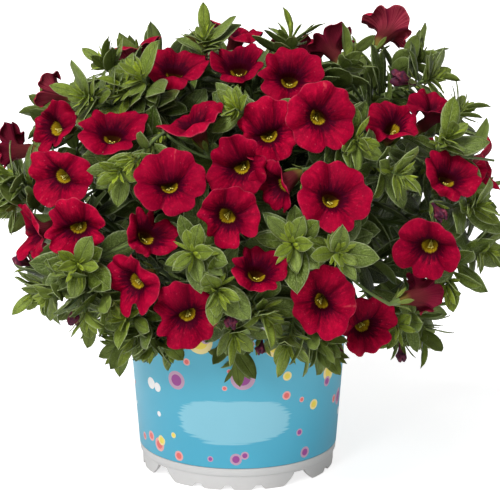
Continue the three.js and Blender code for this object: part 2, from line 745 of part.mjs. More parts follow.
function leafPlan(stem, leaf, attempt) {
  const { point, axis } = along(stem, LEAF_PLACES[leaf]);
  const [first, second] = sidesOf(axis);
  const start = leaf * GOLDEN_ANGLE + LEAF_TURN_RANGE * draw(stem.seed, leaf, 0, 1);
  const turn = THREE.MathUtils.degToRad(start + attempt * LEAF_TRY_TURN);
  const open = LEAF_SPREADS[leaf] + LEAF_SPREAD_RANGE * (draw(stem.seed, leaf, attempt, 2) - 0.5);
  const spread = THREE.MathUtils.degToRad(open);
  const side = first.clone().multiplyScalar(Math.cos(turn)).addScaledVector(second, Math.sin(turn));
  const heading = axis.clone().multiplyScalar(Math.cos(spread)).addScaledVector(side, Math.sin(spread));
  const face = axis.clone().multiplyScalar(Math.sin(spread)).addScaledVector(side, -Math.cos(spread));
  const shortened = attempt < LEAF_TRIES / 2 ? 1 : SHORT_LEAF;
  const size = shortened * (LEAF_SHORTEST + LEAF_LENGTH_RANGE * draw(stem.seed, leaf, 0, 3));
  return {
    base: point.addScaledVector(heading, -LEAF_ROOT),
    heading,
    face,
    length: LEAF_LENGTHS[leaf] * size,
    droop: LEAF_DROOP + LEAF_DROOP_RANGE * draw(stem.seed, leaf, 0, 4),
  };
}

// The blade without its root, which neighbours on the same stem keep clear of
function makeOuterBlade(plan) {
  const base = plan.base.clone().addScaledVector(plan.heading, OUTER_START);
  return makeBlade({ ...plan, base, length: plan.length - OUTER_START }, 0);
}

function growLeaves(stem) {
  const outers = [];
  for (let leaf = 0; leaf < LEAF_PLACES.length; leaf += 1) {
    for (let attempt = 0; attempt < LEAF_TRIES; attempt += 1) {
      const plan = leafPlan(stem, leaf, attempt);
      const owner = stem.branch.index;
      const fat = makeBlade(plan, CLEARANCE);
      const outer = makeOuterBlade(plan);
      const own = (other) => other.owner === owner && (other.stem === stem.seed || other.stem === 'trunk');
      if (isClear(fat, own) && outers.every((other) => other.intersect(outer).isEmpty())) {
        const blade = makeBlade(plan, 0);
        outers.push(outer);
        stem.branch.solids.push(blade);
        settle(blade, owner, stem.seed);
        break;
      }
    }
  }
}

// Crown: woody stems out of the soil, the packed inner growth, and the leaves that stand out of it

function makeCore() {
  const core = new THREE.IcosahedronGeometry(1, 3);
  const position = core.attributes.position;
  for (let index = 0; index < position.count; index += 1) {
    const outward = new THREE.Vector3().fromBufferAttribute(position, index).normalize();
    const ripple = Math.sin(7 * outward.x + 1) * Math.sin(6 * outward.y + 2) * Math.sin(8 * outward.z);
    const point = moundPoint(outward, CORE_REACH * (1 + CORE_RIPPLE * ripple));
    position.setXYZ(index, point.x, point.y, point.z);
  }
  return solidOf(core);
}

function makeWoodyStem([x, y]) {
  const foot = new THREE.Vector3(x, y, WOODY_BOTTOM);
  const head = new THREE.Vector3(x, y, MOUND.z - WOODY_TOP_DROP);
  return tube(new THREE.LineCurve3(foot, head), WOODY_RADIUS, 6, 1);
}

function crownLeafPlan(index, attempt) {
  const outward = spiralDirection(index, CROWN_LEAVES);
  const [first, second] = sidesOf(outward);
  const turn = 2 * Math.PI * draw(index, CROWN_LEAF_SEED, attempt, 1);
  const side = first.clone().multiplyScalar(Math.cos(turn)).addScaledVector(second, Math.sin(turn));
  const open = CROWN_LEAF_SPREAD + CROWN_LEAF_SPREAD_RANGE * draw(index, CROWN_LEAF_SEED, attempt, 2);
  const spread = THREE.MathUtils.degToRad(open);
  const heading = outward.clone().multiplyScalar(Math.cos(spread)).addScaledVector(side, Math.sin(spread));
  const face = outward.clone().multiplyScalar(Math.sin(spread)).addScaledVector(side, -Math.cos(spread));
  return {
    base: moundPoint(outward, CORE_REACH).addScaledVector(heading, -CROWN_LEAF_ROOT),
    heading,
    face,
    length: CROWN_LEAF_LENGTH + CROWN_LEAF_ROOT,
    droop: CROWN_LEAF_DROOP,
  };
}

function makeCrown(branches) {
  let wood = makeCore();
  for (const branch of branches) {
    wood = wood.subtract(tube(branch.curve, TRUNK_RADIUS + GAP + 0.1, 4, 1));
  }
  const pieces = [wood, ...WOODY_STEMS.map(makeWoodyStem)];
  for (let index = 0; index < CROWN_LEAVES; index += 1) {
    for (let attempt = 0; attempt < LEAF_TRIES; attempt += 1) {
      const plan = crownLeafPlan(index, attempt);
      if (isClear(makeBlade(plan, CLEARANCE), (other) => other.owner === 'core')) {
        pieces.push(makeBlade(plan, 0));
        break;
      }
    }
  }
  return fuse(pieces);
}

// The whole potted plant

const group = new THREE.Group();

const pot = makePot();
const sleeve = makeSleeve();
const soil = makeSoil();
group.add(meshOf(pot, 'pot', COLOURS.pot));
group.add(meshOf(sleeve, 'label_sleeve', COLOURS.sleeve));
group.add(meshOf(soil, 'soil', COLOURS.soil));
settle(pot, 'pot', 'pot');
settle(sleeve, 'sleeve', 'sleeve');
settle(soil, 'soil', 'soil');
settle(makeCore(), 'core', 'core');

const front = frontBlooms();
const blooms = [...front, ...rearBlooms(front)];
const bloomSolids = new Map(blooms.map((bloom) => [bloom.name, makeBloom(bloom)]));
for (const bloom of blooms) {
  settle(bloomSolids.get(bloom.name), `bloom${bloom.seed}`, bloom.name);
}

const branches = makeBranches();
for (const branch of branches) {
  settle(branch.solids[0], branch.index, 'trunk');
}

const frontTips = FRONT_TIPS.map(([across, up, reach]) => sightPoint(across, up, reach));
const rearTips = rearPlaces(REAR_TIPS, REAR_TIP_SPACING, REAR_TIP_REACH, [
  ...frontTips,
  ...blooms.map((bloom) => bloom.place.clone().lerp(MOUND, REAR_TIP_SINK)),
]);
const stems = [];
for (const [seed, tip] of [...frontTips, ...rearTips].entries()) {
  const stem = growStem(nearestBranch(branches, tip), seed, tip);
  if (stem) {
    stems.push(stem);
  }
}

for (const bloom of blooms) {
  growBloomStalk(stems, bloom);
}
for (let index = 0; index < BUDS.length; index += 1) {
  growBud(stems, index);
}
for (const stem of stems) {
  growLeaves(stem);
}

group.add(meshOf(makeCrown(branches), 'crown', COLOURS.crown));
for (const branch of branches) {
  const number = String(branch.index + 1).padStart(2, '0');
  group.add(meshOf(fuse(branch.solids), `leafy_stem_${number}`, COLOURS.leaf));
}

const fusedNames = new Set(FUSED_BLOOMS.flat());
for (const names of FUSED_BLOOMS) {
  const cluster = fuse(names.map((name) => bloomSolids.get(name)));
  group.add(meshOf(cluster, `blooms_${names[0]}`, COLOURS.bloom));
}
for (const bloom of blooms) {
  if (!fusedNames.has(bloom.name)) {
    group.add(meshOf(bloomSolids.get(bloom.name), `bloom_${bloom.name}`, COLOURS.bloom));
  }
}

export default group;
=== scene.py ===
"""Potted calibrachoa: red trumpet flowers and leafy stems around a printed plastic pot."""
from math import atan2, cos, degrees, exp, hypot, pi, radians, sin, sqrt
from types import SimpleNamespace as Thing

import bmesh
import bpy
from mathutils import Matrix, Vector, noise
from mathutils.bvhtree import BVHTree


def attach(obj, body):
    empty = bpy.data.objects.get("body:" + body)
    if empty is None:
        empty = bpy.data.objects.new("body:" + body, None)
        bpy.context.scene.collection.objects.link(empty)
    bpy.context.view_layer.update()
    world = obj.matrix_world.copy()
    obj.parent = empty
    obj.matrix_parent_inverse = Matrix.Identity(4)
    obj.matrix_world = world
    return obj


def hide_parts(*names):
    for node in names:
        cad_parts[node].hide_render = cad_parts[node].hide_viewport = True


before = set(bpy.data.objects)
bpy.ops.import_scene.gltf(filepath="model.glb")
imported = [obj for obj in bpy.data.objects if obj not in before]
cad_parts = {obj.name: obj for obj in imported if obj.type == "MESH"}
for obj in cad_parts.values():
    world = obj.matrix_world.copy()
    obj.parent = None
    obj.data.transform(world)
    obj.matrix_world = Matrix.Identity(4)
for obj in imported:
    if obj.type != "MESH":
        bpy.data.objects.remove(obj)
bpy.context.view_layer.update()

MM = 0.001
TURN = 2 * pi

# Mound of foliage and the lines of sight, as in the part's source, in millimetres
MOUND = Vector((4, 0, 155))
MOUND_WIDE = 146
MOUND_DEEP = 138
MOUND_UP = 98
MOUND_DOWN = 88
CORE_REACH = 0.5
FORK_REACH = 0.62
FORK_STEP = 2.4
AIM = Vector((7, 0, 125))
SIGHT_DISTANCE = 1300
SIGHT_RISE = radians(14)
FORWARD = Vector((0, cos(SIGHT_RISE), -sin(SIGHT_RISE)))
RAISED = Vector((0, sin(SIGHT_RISE), cos(SIGHT_RISE)))
EYE = AIM - FORWARD * SIGHT_DISTANCE
LENS_MM = 164.2
SENSOR_MM = 36

# Pot and sleeve
POT_HEIGHT = 100
WALL_BASE_RADIUS = 56.1
WALL_SLOPE = 0.0735
WALL_THICKNESS = 1.8
FOOT_BOTTOM_RADIUS = 55.2
FOOT_CREASE_HEIGHT = 8.6
FLOOR_UNDERSIDE = 7.4
FLOOR_TOP = 9.2
SLEEVE_BOTTOM = 13.5
SLEEVE_TOP = 90
SLEEVE_THICKNESS = 0.5
SLEEVE_RECESS = 0.8
RIM_BOTTOM = 92
RIM_LIP = 1.4
FOOT_PATTERN_TURN = -5.6
ARCH_COUNT = 4
ARCH_HEIGHT = 7.2
ARCH_BOTTOM_WIDTH = 22
ARCH_TOP_WIDTH = 8
NOTCH_STEP = 18
NOTCH_HEIGHT = 2.5
NOTCH_BOTTOM_WIDTH = 8
NOTCH_TOP_WIDTH = 3.5
CUT_START = 46
CUT_DEPTH = 16
CUT_ROUNDING = 1.5
POT_STEPS = 112
SHARP_EDGE = radians(35)
SOIL_TOP = 90
SOIL_GAP = 0.3
SOIL_RINGS = 16
SOIL_STEPS = 96
CRUMB_HEIGHT = 2.2
WOODY_STEMS = ((-20, -14), (18, -17), (-15, 18), (21, 13))
WOODY_RADIUS = 2.2
WOODY_BOTTOM = 58

# Flower, in its own frame with the limb facing +Z
LOBES = 5
LOBE_TURN = TURN / LOBES
LIMB_STEPS = 80
LIMB_WAVE = 1.1
LIMB_SPAN = 60
RIM_START = 0.93
TUBE_DEPTH = -19
FUNNEL_RADIUS = 6.2
FUNNEL_FRONT = (
    (0, -12.5), (1.2, -12.2), (2.2, -10.6), (3.2, -8.8), (4.1, -7.2), (5.0, -6.0), (FUNNEL_RADIUS, -4.9),
)
LIMB_FRONT = (
    (0.14, -3.6), (0.31, -2.5), (0.49, -1.5), (0.67, -0.7), (0.84, -0.05), (0.94, 0.25), (0.985, 0.3),
)
LIMB_REAR = ((1.0, 0.0), (0.98, -0.25), (0.83, -0.6), (0.63, -1.3), (0.44, -2.2), (0.25, -3.4), (0.09, -4.9))
FUNNEL_REAR = (
    (6.2, -6.6), (5.3, -8.8), (4.3, -11.4), (3.3, -14.5), (2.6, -17.6), (2.1, TUBE_DEPTH), (0, TUBE_DEPTH),
)
ANTHERS = 4
ANTHER_RADIUS = 0.42
FILAMENT_FOOT_RADIUS = 0.14
FILAMENT_TIP_RADIUS = 0.1
CALYX_LENGTH = 6
CALYX_RADIUS = 3.1
CALYX_GAP = 0.3
SEPALS = 5
PEDICEL_RADIUS = 0.8
STEM_RADIUS = 1.3
STEM_TAPER = 0.45
TRUNK_RADIUS = 1.9
STEM_STEPS = 3
BEND_TRIES = 7
BEND_MATCH = 2.5
ANCHOR_TRIES = 30
ANCHOR_CLEARANCE = 10
ANCHOR_PLACES = (0.15, 0.3, 0.45, 0.6, 0.75)
GOLDEN_ANGLE = 137.5

# Open flowers on the front: across and up on the sight plane, reach, turn and tilt, diameter
FRONT_BLOOMS = (
    ("far_left_trumpet", -116, 93, 1.0, -100, 20, 26),
    ("left_top", -114, 71, 1.0, -40, 15, 34),
    ("left_edge_high", -137, 59, 0.97, -110, 5, 30),
    ("left_shoulder", -79, 69, 1.0, -5, 52, 38),
    ("left_middle", -109, 42, 1.0, -25, 5, 38),
    ("left_lower", -100, 13, 0.99, -10, 0, 35),
    ("top_left", -43, 106, 0.99, 5, 64, 39),
    ("upper_left_edgewise", -34, 76, 0.98, -68, 64, 39),
    ("middle_left", -46, 39, 1.0, 3, 25, 40),
    ("low_left_tucked", -56, 10, 0.97, 30, 25, 32),
    ("left_edge_low", -125, 11, 0.97, -65, -5, 34),
    ("top_middle", -7, 107, 0.985, -8, 50, 31),
    ("centre_low", -13, 19, 1.0, -6, 0, 36),
    ("centre_back", -7, 48, 0.93, -15, 5, 36),
    ("top_right_of_middle", 23, 100, 1.0, 3, 35, 38),
    ("upper_middle", 41, 76, 1.07, 10, 5, 39),
    ("centre_high", 10, 68, 0.96, -4, 22, 38),
    ("right_of_centre", 48, 31, 1.0, 15, 25, 41),
    ("right_shoulder", 81, 74, 0.99, 10, 52, 33),
    ("right_edgewise", 104, 81, 0.97, 60, 60, 32),
    ("right_middle", 115, 44, 1.0, 28, 42, 34),
    ("right_edge", 137, 50, 0.97, 80, 5, 34),
    ("right_lower", 101, 0, 1.0, -15, -15, 37),
    ("top_right_back", 79, 128, 1.0, 150, 35, 34),
    ("top_back", 46, 119, 0.98, -150, 45, 30),
    ("centre_sideways", 14, 36, 0.93, -50, -15, 30),
    ("lower_left", -68, -19, 1.0, -35, -5, 38),
    ("bottom_left", -37, -37, 1.02, -5, 0, 39),
    ("low_middle", 5, -10, 1.0, 12, 42, 31),
    ("bottom_right", 42, -30, 1.02, 0, 0, 41),
    ("bottom_far_right", 67, -43, 1.0, 25, 0, 36),
    ("low_right_back", 99, -24, 0.98, 130, 5, 28),
)
FUSED_BLOOMS = (("centre_high", "centre_back", "centre_sideways"),)
CALM_BLOOMS = ("middle_left", "right_of_centre", "upper_middle", "left_middle", "bottom_right", "right_lower")
# Flowers that no leaf hides
CLEAR_BLOOMS = ("left_shoulder", "right_shoulder", "top_middle")
# How far some limbs are drawn out up and down, and across
DRAWN_OUT = {
    "bottom_right": (1.0, 0.88), "left_middle": (0.9, 1.03),
    "middle_left": (0.94, 0.98), "left_lower": (0.95, 1.06),
}
# Lobes unlike the rest: degrees from the way down toward the viewer's right, their spread, and the change
LOBE_FORMS = {
    "lower_left": ((132, 34, -0.36), (9, 9, -0.42), (-44, 15, -0.2), (-14, 13, 0.1)),
    "left_top": ((-130, 32, -0.36), (-60, 20, 0.08), (90, 40, -0.12)),
    "left_shoulder": ((180, 30, -0.25), (116, 22, 0.14), (-122, 22, 0.1)),
    "centre_low": ((-58, 14, -0.22), (-125, 26, -0.16), (70, 16, 0.1), (36, 14, -0.12)),
    "left_middle": ((180, 40, -0.26), (-122, 22, 0.14), (120, 20, 0.06), (-20, 40, 0.08)),
    "low_left_tucked": ((138, 15, -0.42), (60, 9, -0.25), (-2, 24, -0.3)),
}
# Flowers that are darker or paler than chance makes them, from 0, pale, to 1, dark: the dark ones are painted
# shade for flowers that sit in shade
TONES = {
    "far_left_trumpet": 0.02, "top_right_back": 0.14, "left_edge_high": 0.96, "top_back": 0.9,
    "centre_back": 0.83, "lower_left": 0.5, "bottom_left": 0.93, "bottom_far_right": 0.68,
    "low_right_back": 0.99,
}
REAR_SAMPLES = 400
REAR_STRIDE = 149
REAR_MARGIN = 12
REAR_BLOOMS = 13
REAR_BLOOM_SEED = 100
REAR_BLOOM_REACH = 0.97
REAR_BLOOM_SPACING = 57
REAR_BLOOM_DIAMETER = 36

# Spent and closed flowers: across, up, reach, turn, tilt, length
BUDS = (
    ("spent_top", 88, 97, 0.98, -60, 20, 16),
    ("spent_right", 107, 22, 0.98, 30, -30, 13),
    ("spent_left_hanging", -100, -36, 1.0, -20, -75, 13),
    ("bud_left", -128, -7, 0.98, -60, 30, 14),
    ("spent_low_middle", -10, -38, 1.02, -20, -50, 12),
    ("spent_low_right", 50, -57, 1.0, -10, -60, 14),
    ("spent_far_right", 86, -58, 1.0, 10, -70, 11),
    ("spent_bottom", 6, -54, 1.0, -10, -50, 10),
)
BUD_SEED = 200

# Leafy tips on the front: across and up on the sight plane, and reach
FRONT_TIPS = (
    (-26, 121, 1.05), (23, 121, 1.05), (-83, 106, 1.03), (-95, 88, 1.05), (-72, 92, 1.0),
    (-62, 99, 1.04), (-8, 80, 1.0), (-138, 44, 1.04), (-75, 44, 1.0), (-66, 50, 1.03),
    (-140, 25, 1.02), (56, 110, 1.02), (97, 110, 1.04), (106, 98, 1.04), (62, 62, 1.0),
    (87, 42, 1.02), (113, 66, 1.02), (130, 25, 1.02), (-122, -24, 1.04), (-99, -8, 1.04),
    (-66, -50, 1.02), (-33, -2, 1.02), (-19, -24, 1.03), (50, -2, 1.03), (24, 3, 1.0),
    (98, -48, 1.02), (22, -54, 1.04), (134, 0, 1.02), (8, -38, 1.0), (-9, -48, 1.0),
)
REAR_TIPS = 24
REAR_TIP_REACH = 1.0
REAR_TIP_SPACING = 45
# Side shoots that only the scene has: across, up, and how far they lean toward the viewer
FRONT_SHOOTS = (
    (-79, -31, 0), (-71, -39, 0), (-57, -52, 0), (-46, -55, 0), (-74, -57, 0), (-7, -67, 0), (44, -57, 0),
    (40, -51, 0), (83, -44, 0), (112, -20, 0), (139, 51, 0), (-113, -20, 16), (-92, -34, 14),
)
REAR_SHOOTS = range(74, 300, 22)
REAR_SHOOT_ELEVATION = -36
REAR_SHOOT_REACH = 0.97
SHOOT_REACH = 1.02
SHOOT_RADIUS = 0.7
SHOOT_SEED = 400

# Leafy stems that rise from the crown: azimuth from the front toward +X, and elevation
BRANCHES = (
    (-145, 6), (-98, -2), (-52, -6), (-12, -8), (26, -8), (68, -4), (112, 2), (165, 8),
    (-46, 36), (26, 36), (90, 42), (-150, 60),
)
INNER_STEMS = 46
ROOT_STEM_SEED = 501
INNER_STEM_SEED = 600

# Leaves that the solids have too
LEAF_PLACES = (0.45, 0.66, 0.82, 0.94, 1.0)
LEAF_SPREADS = (64, 58, 50, 40, 12)
LEAF_LENGTHS = (31, 30, 27, 22, 18)
LEAF_WIDTHS = (1.0, 1.0, 1.0, 0.9, 0.7)
LEAF_ROOT = 0.5
LEAF_TRIES = 12
LEAF_MATCH = 0.8
CROWN_LEAVES = 38
CROWN_LEAF_LENGTH = 34
CROWN_LEAF_ROOT = 9
CROWN_LEAF_SEED = 2000

# Blade shapes
DROOPS = (0.0, 0.06, 0.12, 0.16, 0.2, 0.24, 0.34)
FOLDS = (0.25, 0.45, 0.75)
CURL = 0.45
BROAD = 0.5
NARROW = 0.34
BLADE_STEPS = {BROAD: 9, NARROW: 6}
BLADE_THICKNESS = 0.014
NARROW_FROM = 0.45

# Leaves that only the scene has, from the lowest and largest of a kind to the highest and smallest
ADDED_TRIES = 7
CLEAR_SHARE = 0.36
WHOLE_SHARE = 0.5
# Inner leaves go below 0 on the freshness scale: painted shade, darker deep inside the bush
INNER_PAINTED_SHADE = -0.3
OUTER_LEAVES, HEART_LEAVES, SHOOT_HEART_LEAVES, SHOOT_LEAVES, INNER_LEAVES = [
    Thing(seed=seed, count=count, places=places, crowding=crowding, lengths=lengths, spreads=spreads,
          fresh=fresh, width=width, axil=axil)
    for seed, count, places, crowding, lengths, spreads, fresh, width, axil in (
        (300, 20, (0.3, 0.94), 1.8, (26, 14), (72, 46), (-0.05, 0.44), 1.0, 3),
        (340, 15, (0.9, 1.0), 0.8, (14, 9), (62, 8), (0.62, 1.0), 0.62, 0),
        (350, 7, (0.9, 1.0), 0.8, (14, 9), (56, 8), (0.5, 0.9), 0.8, 0),
        (360, 11, (0.3, 0.97), 1.3, (23, 14), (66, 30), (0.1, 0.6), 1.0, 0),
        (380, 12, (0.35, 1.0), 1.2, (33, 22), (70, 20), (INNER_PAINTED_SHADE, 0.0), 1.0, 0),
    )
]

# Sleeve print, in millimetres: a pale panel, and layers of dots by spacing, share, size and offset
PANEL_MIDDLE = (-2.0, 41.0)
PANEL_HALF = (33.0, 13.0)
PANEL_POWER = 2.6
DOT_LAYERS = ((19.0, 0.6, 4.6, 3.0), (11.0, 0.35, 1.9, 40.0))
DOT_COLOURS = ((0.0, (238, 108, 104)), (0.36, (246, 222, 78)), (0.6, (160, 66, 150)), (0.84, (250, 250, 250)))


# Rules that place everything, the same as in the part's source

def draw(thing, part, attempt, which):
    """A repeatable number from 0 to 1 for a thing, its part and the try."""
    state = (thing * 7919 + part * 613 + attempt * 97 + which * 31 + 12345) % 2147483647
    for _ in range(3):
        state = (state * 16807) % 2147483647
    return state / 2147483647


def between(low, high, thing, part, attempt, which):
    return low + (high - low) * draw(thing, part, attempt, which)


def clamped(value):
    return max(0.0, min(1.0, value))


def direction(azimuth, elevation):
    turn = radians(azimuth)
    tilt = radians(elevation)
    level = cos(tilt)
    return Vector((sin(turn) * level, -cos(turn) * level, sin(tilt)))


def sides_of(axis):
    """Two unit vectors square to an axis."""
    reference = Vector((1, 0, 0)) if abs(axis.z) > 0.95 else Vector((0, 0, 1))
    first = reference.cross(axis).normalized()
    return first, axis.cross(first)


def around(axis, turn):
    """A unit vector square to an axis, turned round it."""
    first, second = sides_of(axis)
    return first * cos(turn) + second * sin(turn)


def leaning(axis, turn, spread):
    """The heading of something that spreads from an axis, and the way that its face looks."""
    side = around(axis, turn)
    heading = axis * cos(spread) + side * sin(spread)
    return heading, axis * sin(spread) - side * cos(spread)


def mound_point(outward, reach):
    height = MOUND_UP if outward.z > 0 else MOUND_DOWN
    scaled = Vector((outward.x / MOUND_WIDE, outward.y / MOUND_DEEP, outward.z / height)) / reach
    return MOUND + outward / scaled.length


def sight_point(across, up, reach):
    """Where a sight line first meets the mound, or the mound beside its nearest pass."""
    line = (AIM + RAISED * up + Vector((across, 0, 0)) - EYE).normalized()
    height = MOUND_UP
    for _ in range(2):
        radii = Vector((MOUND_WIDE, MOUND_DEEP, height)) * reach
        start = Vector((EYE - MOUND)[axis] / radii[axis] for axis in range(3))
        step = Vector(line[axis] / radii[axis] for axis in range(3))
        middle = -start.dot(step) / step.dot(step)
        inside = middle * middle - (start.dot(start) - 1) / step.dot(step)
        point = EYE + line * (middle - sqrt(max(inside, 0)))
        height = MOUND_DOWN if point.z < MOUND.z else MOUND_UP
    return point


def spiral_direction(index, count):
    """Evenly spread directions over the mound, from the top down."""
    height = 1 - 1.45 * (index + 0.5) / count
    level = sqrt(1 - height * height)
    turn = radians(index * GOLDEN_ANGLE)
    return Vector((level * cos(turn), level * sin(turn), height))


def rear_places(count, spacing, reach, taken):
    """Places on the rear and the far sides, each clear of all that were chosen before."""
    chosen = []
    for index in range(REAR_SAMPLES):
        outward = spiral_direction((index * REAR_STRIDE) % REAR_SAMPLES, REAR_SAMPLES)
        place = mound_point(outward, reach)
        clear = all((other - place).length > spacing for other in taken + chosen)
        if len(chosen) < count and place.y > MOUND.y + REAR_MARGIN and clear:
            chosen.append(place)
    return chosen


def make_bloom(name, seed, place, axis, diameter):
    roll = TURN * draw(seed, 0, 0, 2)
    return Thing(name=name, seed=seed, place=place, axis=axis, diameter=diameter, roll=roll)


def front_blooms():
    blooms = []
    for seed, (name, across, up, reach, turn, tilt, diameter) in enumerate(FRONT_BLOOMS):
        blooms.append(make_bloom(name, seed, sight_point(across, up, reach), direction(turn, tilt), diameter))
    return blooms


def rear_blooms(front):
    blooms = []
    taken = [bloom.place for bloom in front]
    for index, place in enumerate(rear_places(REAR_BLOOMS, REAR_BLOOM_SPACING, REAR_BLOOM_REACH, taken)):
        seed = REAR_BLOOM_SEED + index
        lean = Vector((draw(seed, 0, 0, 3) - 0.5, draw(seed, 0, 0, 4) - 0.5, 0.2))
        axis = ((place - MOUND).normalized() + lean * 0.6).normalized()
        diameter = REAR_BLOOM_DIAMETER * (0.92 + 0.16 * draw(seed, 0, 0, 5))
        blooms.append(make_bloom(f"rear_{index + 1}", seed, place, axis, diameter))
    return blooms


def make_branches():
    branches = []
    for index, (azimuth, elevation) in enumerate(BRANCHES):
        outward = direction(azimuth, elevation)
        number = f"{index + 1:02d}"
        branches.append(Thing(
            number=number, outward=outward, surface=surface_of("leafy_stem_" + number),
            root=mound_point(outward, CORE_REACH - 0.1), fork=mound_point(outward, FORK_REACH),
            forks=0, stems=[], shoots=[], stalks=[], buds=[],
        ))
    return branches


def nearest_branch(branches, place):
    outward = (place - MOUND).normalized()
    return max(branches, key=lambda branch: branch.outward.dot(outward))


# Reading which of the tries the solid part has kept

def surface_of(*names):
    """The surface of solids in millimetres, for finding what lies on it."""
    corners = []
    faces = []
    for name in names:
        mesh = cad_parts[name].data
        start = len(corners)
        corners += [vertex.co / MM for vertex in mesh.vertices]
        faces += [tuple(start + index for index in face.vertices) for face in mesh.polygons]
    return BVHTree.FromPolygons(corners, faces)


def distance_to(surface, points):
    """The largest distance from the points to a surface."""
    return max(surface.find_nearest(point)[3] for point in points)


def bezier(start, middle, end, place):
    rest = 1 - place
    return start * rest * rest + middle * 2 * rest * place + end * place * place


def spaced_knots(start, middle, end, steps):
    """Points at equal lengths along the bend."""
    divisions = 200
    points = [bezier(start, middle, end, index / divisions) for index in range(divisions + 1)]
    lengths = [0]
    for before, after in zip(points, points[1:]):
        lengths.append(lengths[-1] + (after - before).length)
    knots = []
    for step in range(steps + 1):
        target = lengths[-1] * step / steps
        index = max(i for i, length in enumerate(lengths) if length <= target + 1e-9)
        place = 1
        if index < divisions:
            place = (index + (target - lengths[index]) / (lengths[index + 1] - lengths[index])) / divisions
        knots.append(bezier(start, middle, end, place))
    return knots


def make_stem(seed, start, middle, tip, branch=None):
    knots = spaced_knots(start, middle, tip, STEM_STEPS)
    return Thing(seed=seed, start=start, middle=middle, tip=tip, knots=knots, branch=branch)


def bent_middle(start, end, attempt):
    axis = end - start
    length = axis.length
    first, second = sides_of(axis.normalized())
    middle = start.lerp(end, 0.5)
    middle.z += 0.08 * length
    if attempt > 0:
        angle = attempt * TURN / (BEND_TRIES - 1)
        middle += first * 0.3 * length * cos(angle)
        middle += second * 0.3 * length * sin(angle)
    return middle


def grow_stem(branch, seed, tip):
    """The stem that the solid part has, if any: the bend whose line runs inside the solid."""
    start = branch.fork - branch.outward * (1 + FORK_STEP * branch.forks)
    branch.forks += 1
    tries = []
    for attempt in range(BEND_TRIES):
        middle = bent_middle(start, tip, attempt)
        samples = [bezier(start, middle, tip, place) for place in (0.3, 0.5, 0.7, 0.85)]
        tries.append((distance_to(branch.surface, samples), attempt, middle))
    apart, _, middle = min(tries)
    if apart <= BEND_MATCH:
        branch.stems.append(make_stem(seed, start, middle, tip, branch))


def along_stem(stem, place):
    """A place from 0 to 1 along the straight pieces of a stem, with its direction there."""
    scaled = min(place * STEM_STEPS, STEM_STEPS - 0.001)
    piece = int(scaled)
    start, end = stem.knots[piece:piece + 2]
    return start.lerp(end, scaled - piece), (end - start).normalized()


def anchors_for(stems, foot):
    """The nearest places on the stems from which a stalk can rise, each with its distance and stem."""
    anchors = []
    for stem in stems:
        for place in ANCHOR_PLACES:
            point, _ = along_stem(stem, place)
            distance = (point - foot).length
            if distance > ANCHOR_CLEARANCE:
                anchors.append((distance, stem, point))
    anchors.sort(key=lambda anchor: anchor[0])
    return anchors[:ANCHOR_TRIES]


def grow_stalk(stems, foot, head):
    """The stalk that the solid part has, and the branch that carries it."""
    tries = []
    axis = (head - foot).normalized()
    for number, (_, stem, anchor) in enumerate(anchors_for(stems, foot)):
        middle = anchor.lerp(foot, 0.6) - axis * 0.18 * (anchor - foot).length
        samples = [anchor.lerp(middle, 0.5), middle, middle.lerp(foot, 0.5)]
        apart = distance_to(stem.branch.surface, samples)
        tries.append((apart, number, (anchor, middle, foot, head), stem.branch))
    return min(tries)[2:]


def make_leaf(base, heading, face, length, droop, fresh=0.0):
    return Thing(base=base, heading=heading, face=face, length=length, droop=droop, fresh=fresh)


def stem_leaf(stem, number, attempt):
    point, axis = along_stem(stem, LEAF_PLACES[number])
    turn = number * GOLDEN_ANGLE + 60 * draw(stem.seed, number, 0, 1) + attempt * 51
    spread = LEAF_SPREADS[number] + 14 * (draw(stem.seed, number, attempt, 2) - 0.5)
    heading, face = leaning(axis, radians(turn), radians(spread))
    shortened = 1 if attempt < LEAF_TRIES / 2 else 0.8
    length = LEAF_LENGTHS[number] * shortened * (0.9 + 0.2 * draw(stem.seed, number, 0, 3))
    droop = 0.12 + 0.12 * draw(stem.seed, number, 0, 4)
    fresh = LEAF_PLACES[number] ** 6 * 0.4
    return make_leaf(point - heading * LEAF_ROOT, heading, face, length, droop, fresh)


def crown_leaf(index, attempt):
    outward = spiral_direction(index, CROWN_LEAVES)
    spread = radians(30 + 25 * draw(index, 900, attempt, 2))
    heading, face = leaning(outward, TURN * draw(index, 900, attempt, 1), spread)
    base = mound_point(outward, CORE_REACH) - heading * CROWN_LEAF_ROOT
    return make_leaf(base, heading, face, CROWN_LEAF_LENGTH + CROWN_LEAF_ROOT, 0.15, 0.1)


def leaf_point(leaf, place):
    lowered = leaf.droop * leaf.length * place * place
    return leaf.base + leaf.heading * leaf.length * place - leaf.face * lowered


def kept_leaf(surface, leaves):
    """The first leaf whose middle and tip lie on the solid, or none where the solid has no leaf."""
    for leaf in leaves:
        if distance_to(surface, [leaf_point(leaf, place) for place in (0.5, 0.75, 1)]) < LEAF_MATCH:
            return leaf
    return None


# Shaders

class Output:
    """A node's output, which plain arithmetic joins to more nodes."""

    def __init__(self, graph, socket):
        self.graph = graph
        self.socket = socket

    def __add__(self, other):
        return self.graph.math("ADD", self, other)

    def __sub__(self, other):
        return self.graph.math("SUBTRACT", self, other)

    def __mul__(self, other):
        return self.graph.math("MULTIPLY", self, other)

    def __truediv__(self, other):
        return self.graph.math("DIVIDE", self, other)

    def __pow__(self, other):
        return self.graph.math("POWER", self, other)


def shown(colour):
    """A shader colour from 0 to 255 screen values. An output stays as it is."""
    def linear(value):
        part = value / 255
        return part / 12.92 if part <= 0.04045 else ((part + 0.055) / 1.055) ** 2.4
    return colour if isinstance(colour, Output) else (*(linear(value) for value in colour), 1.0)


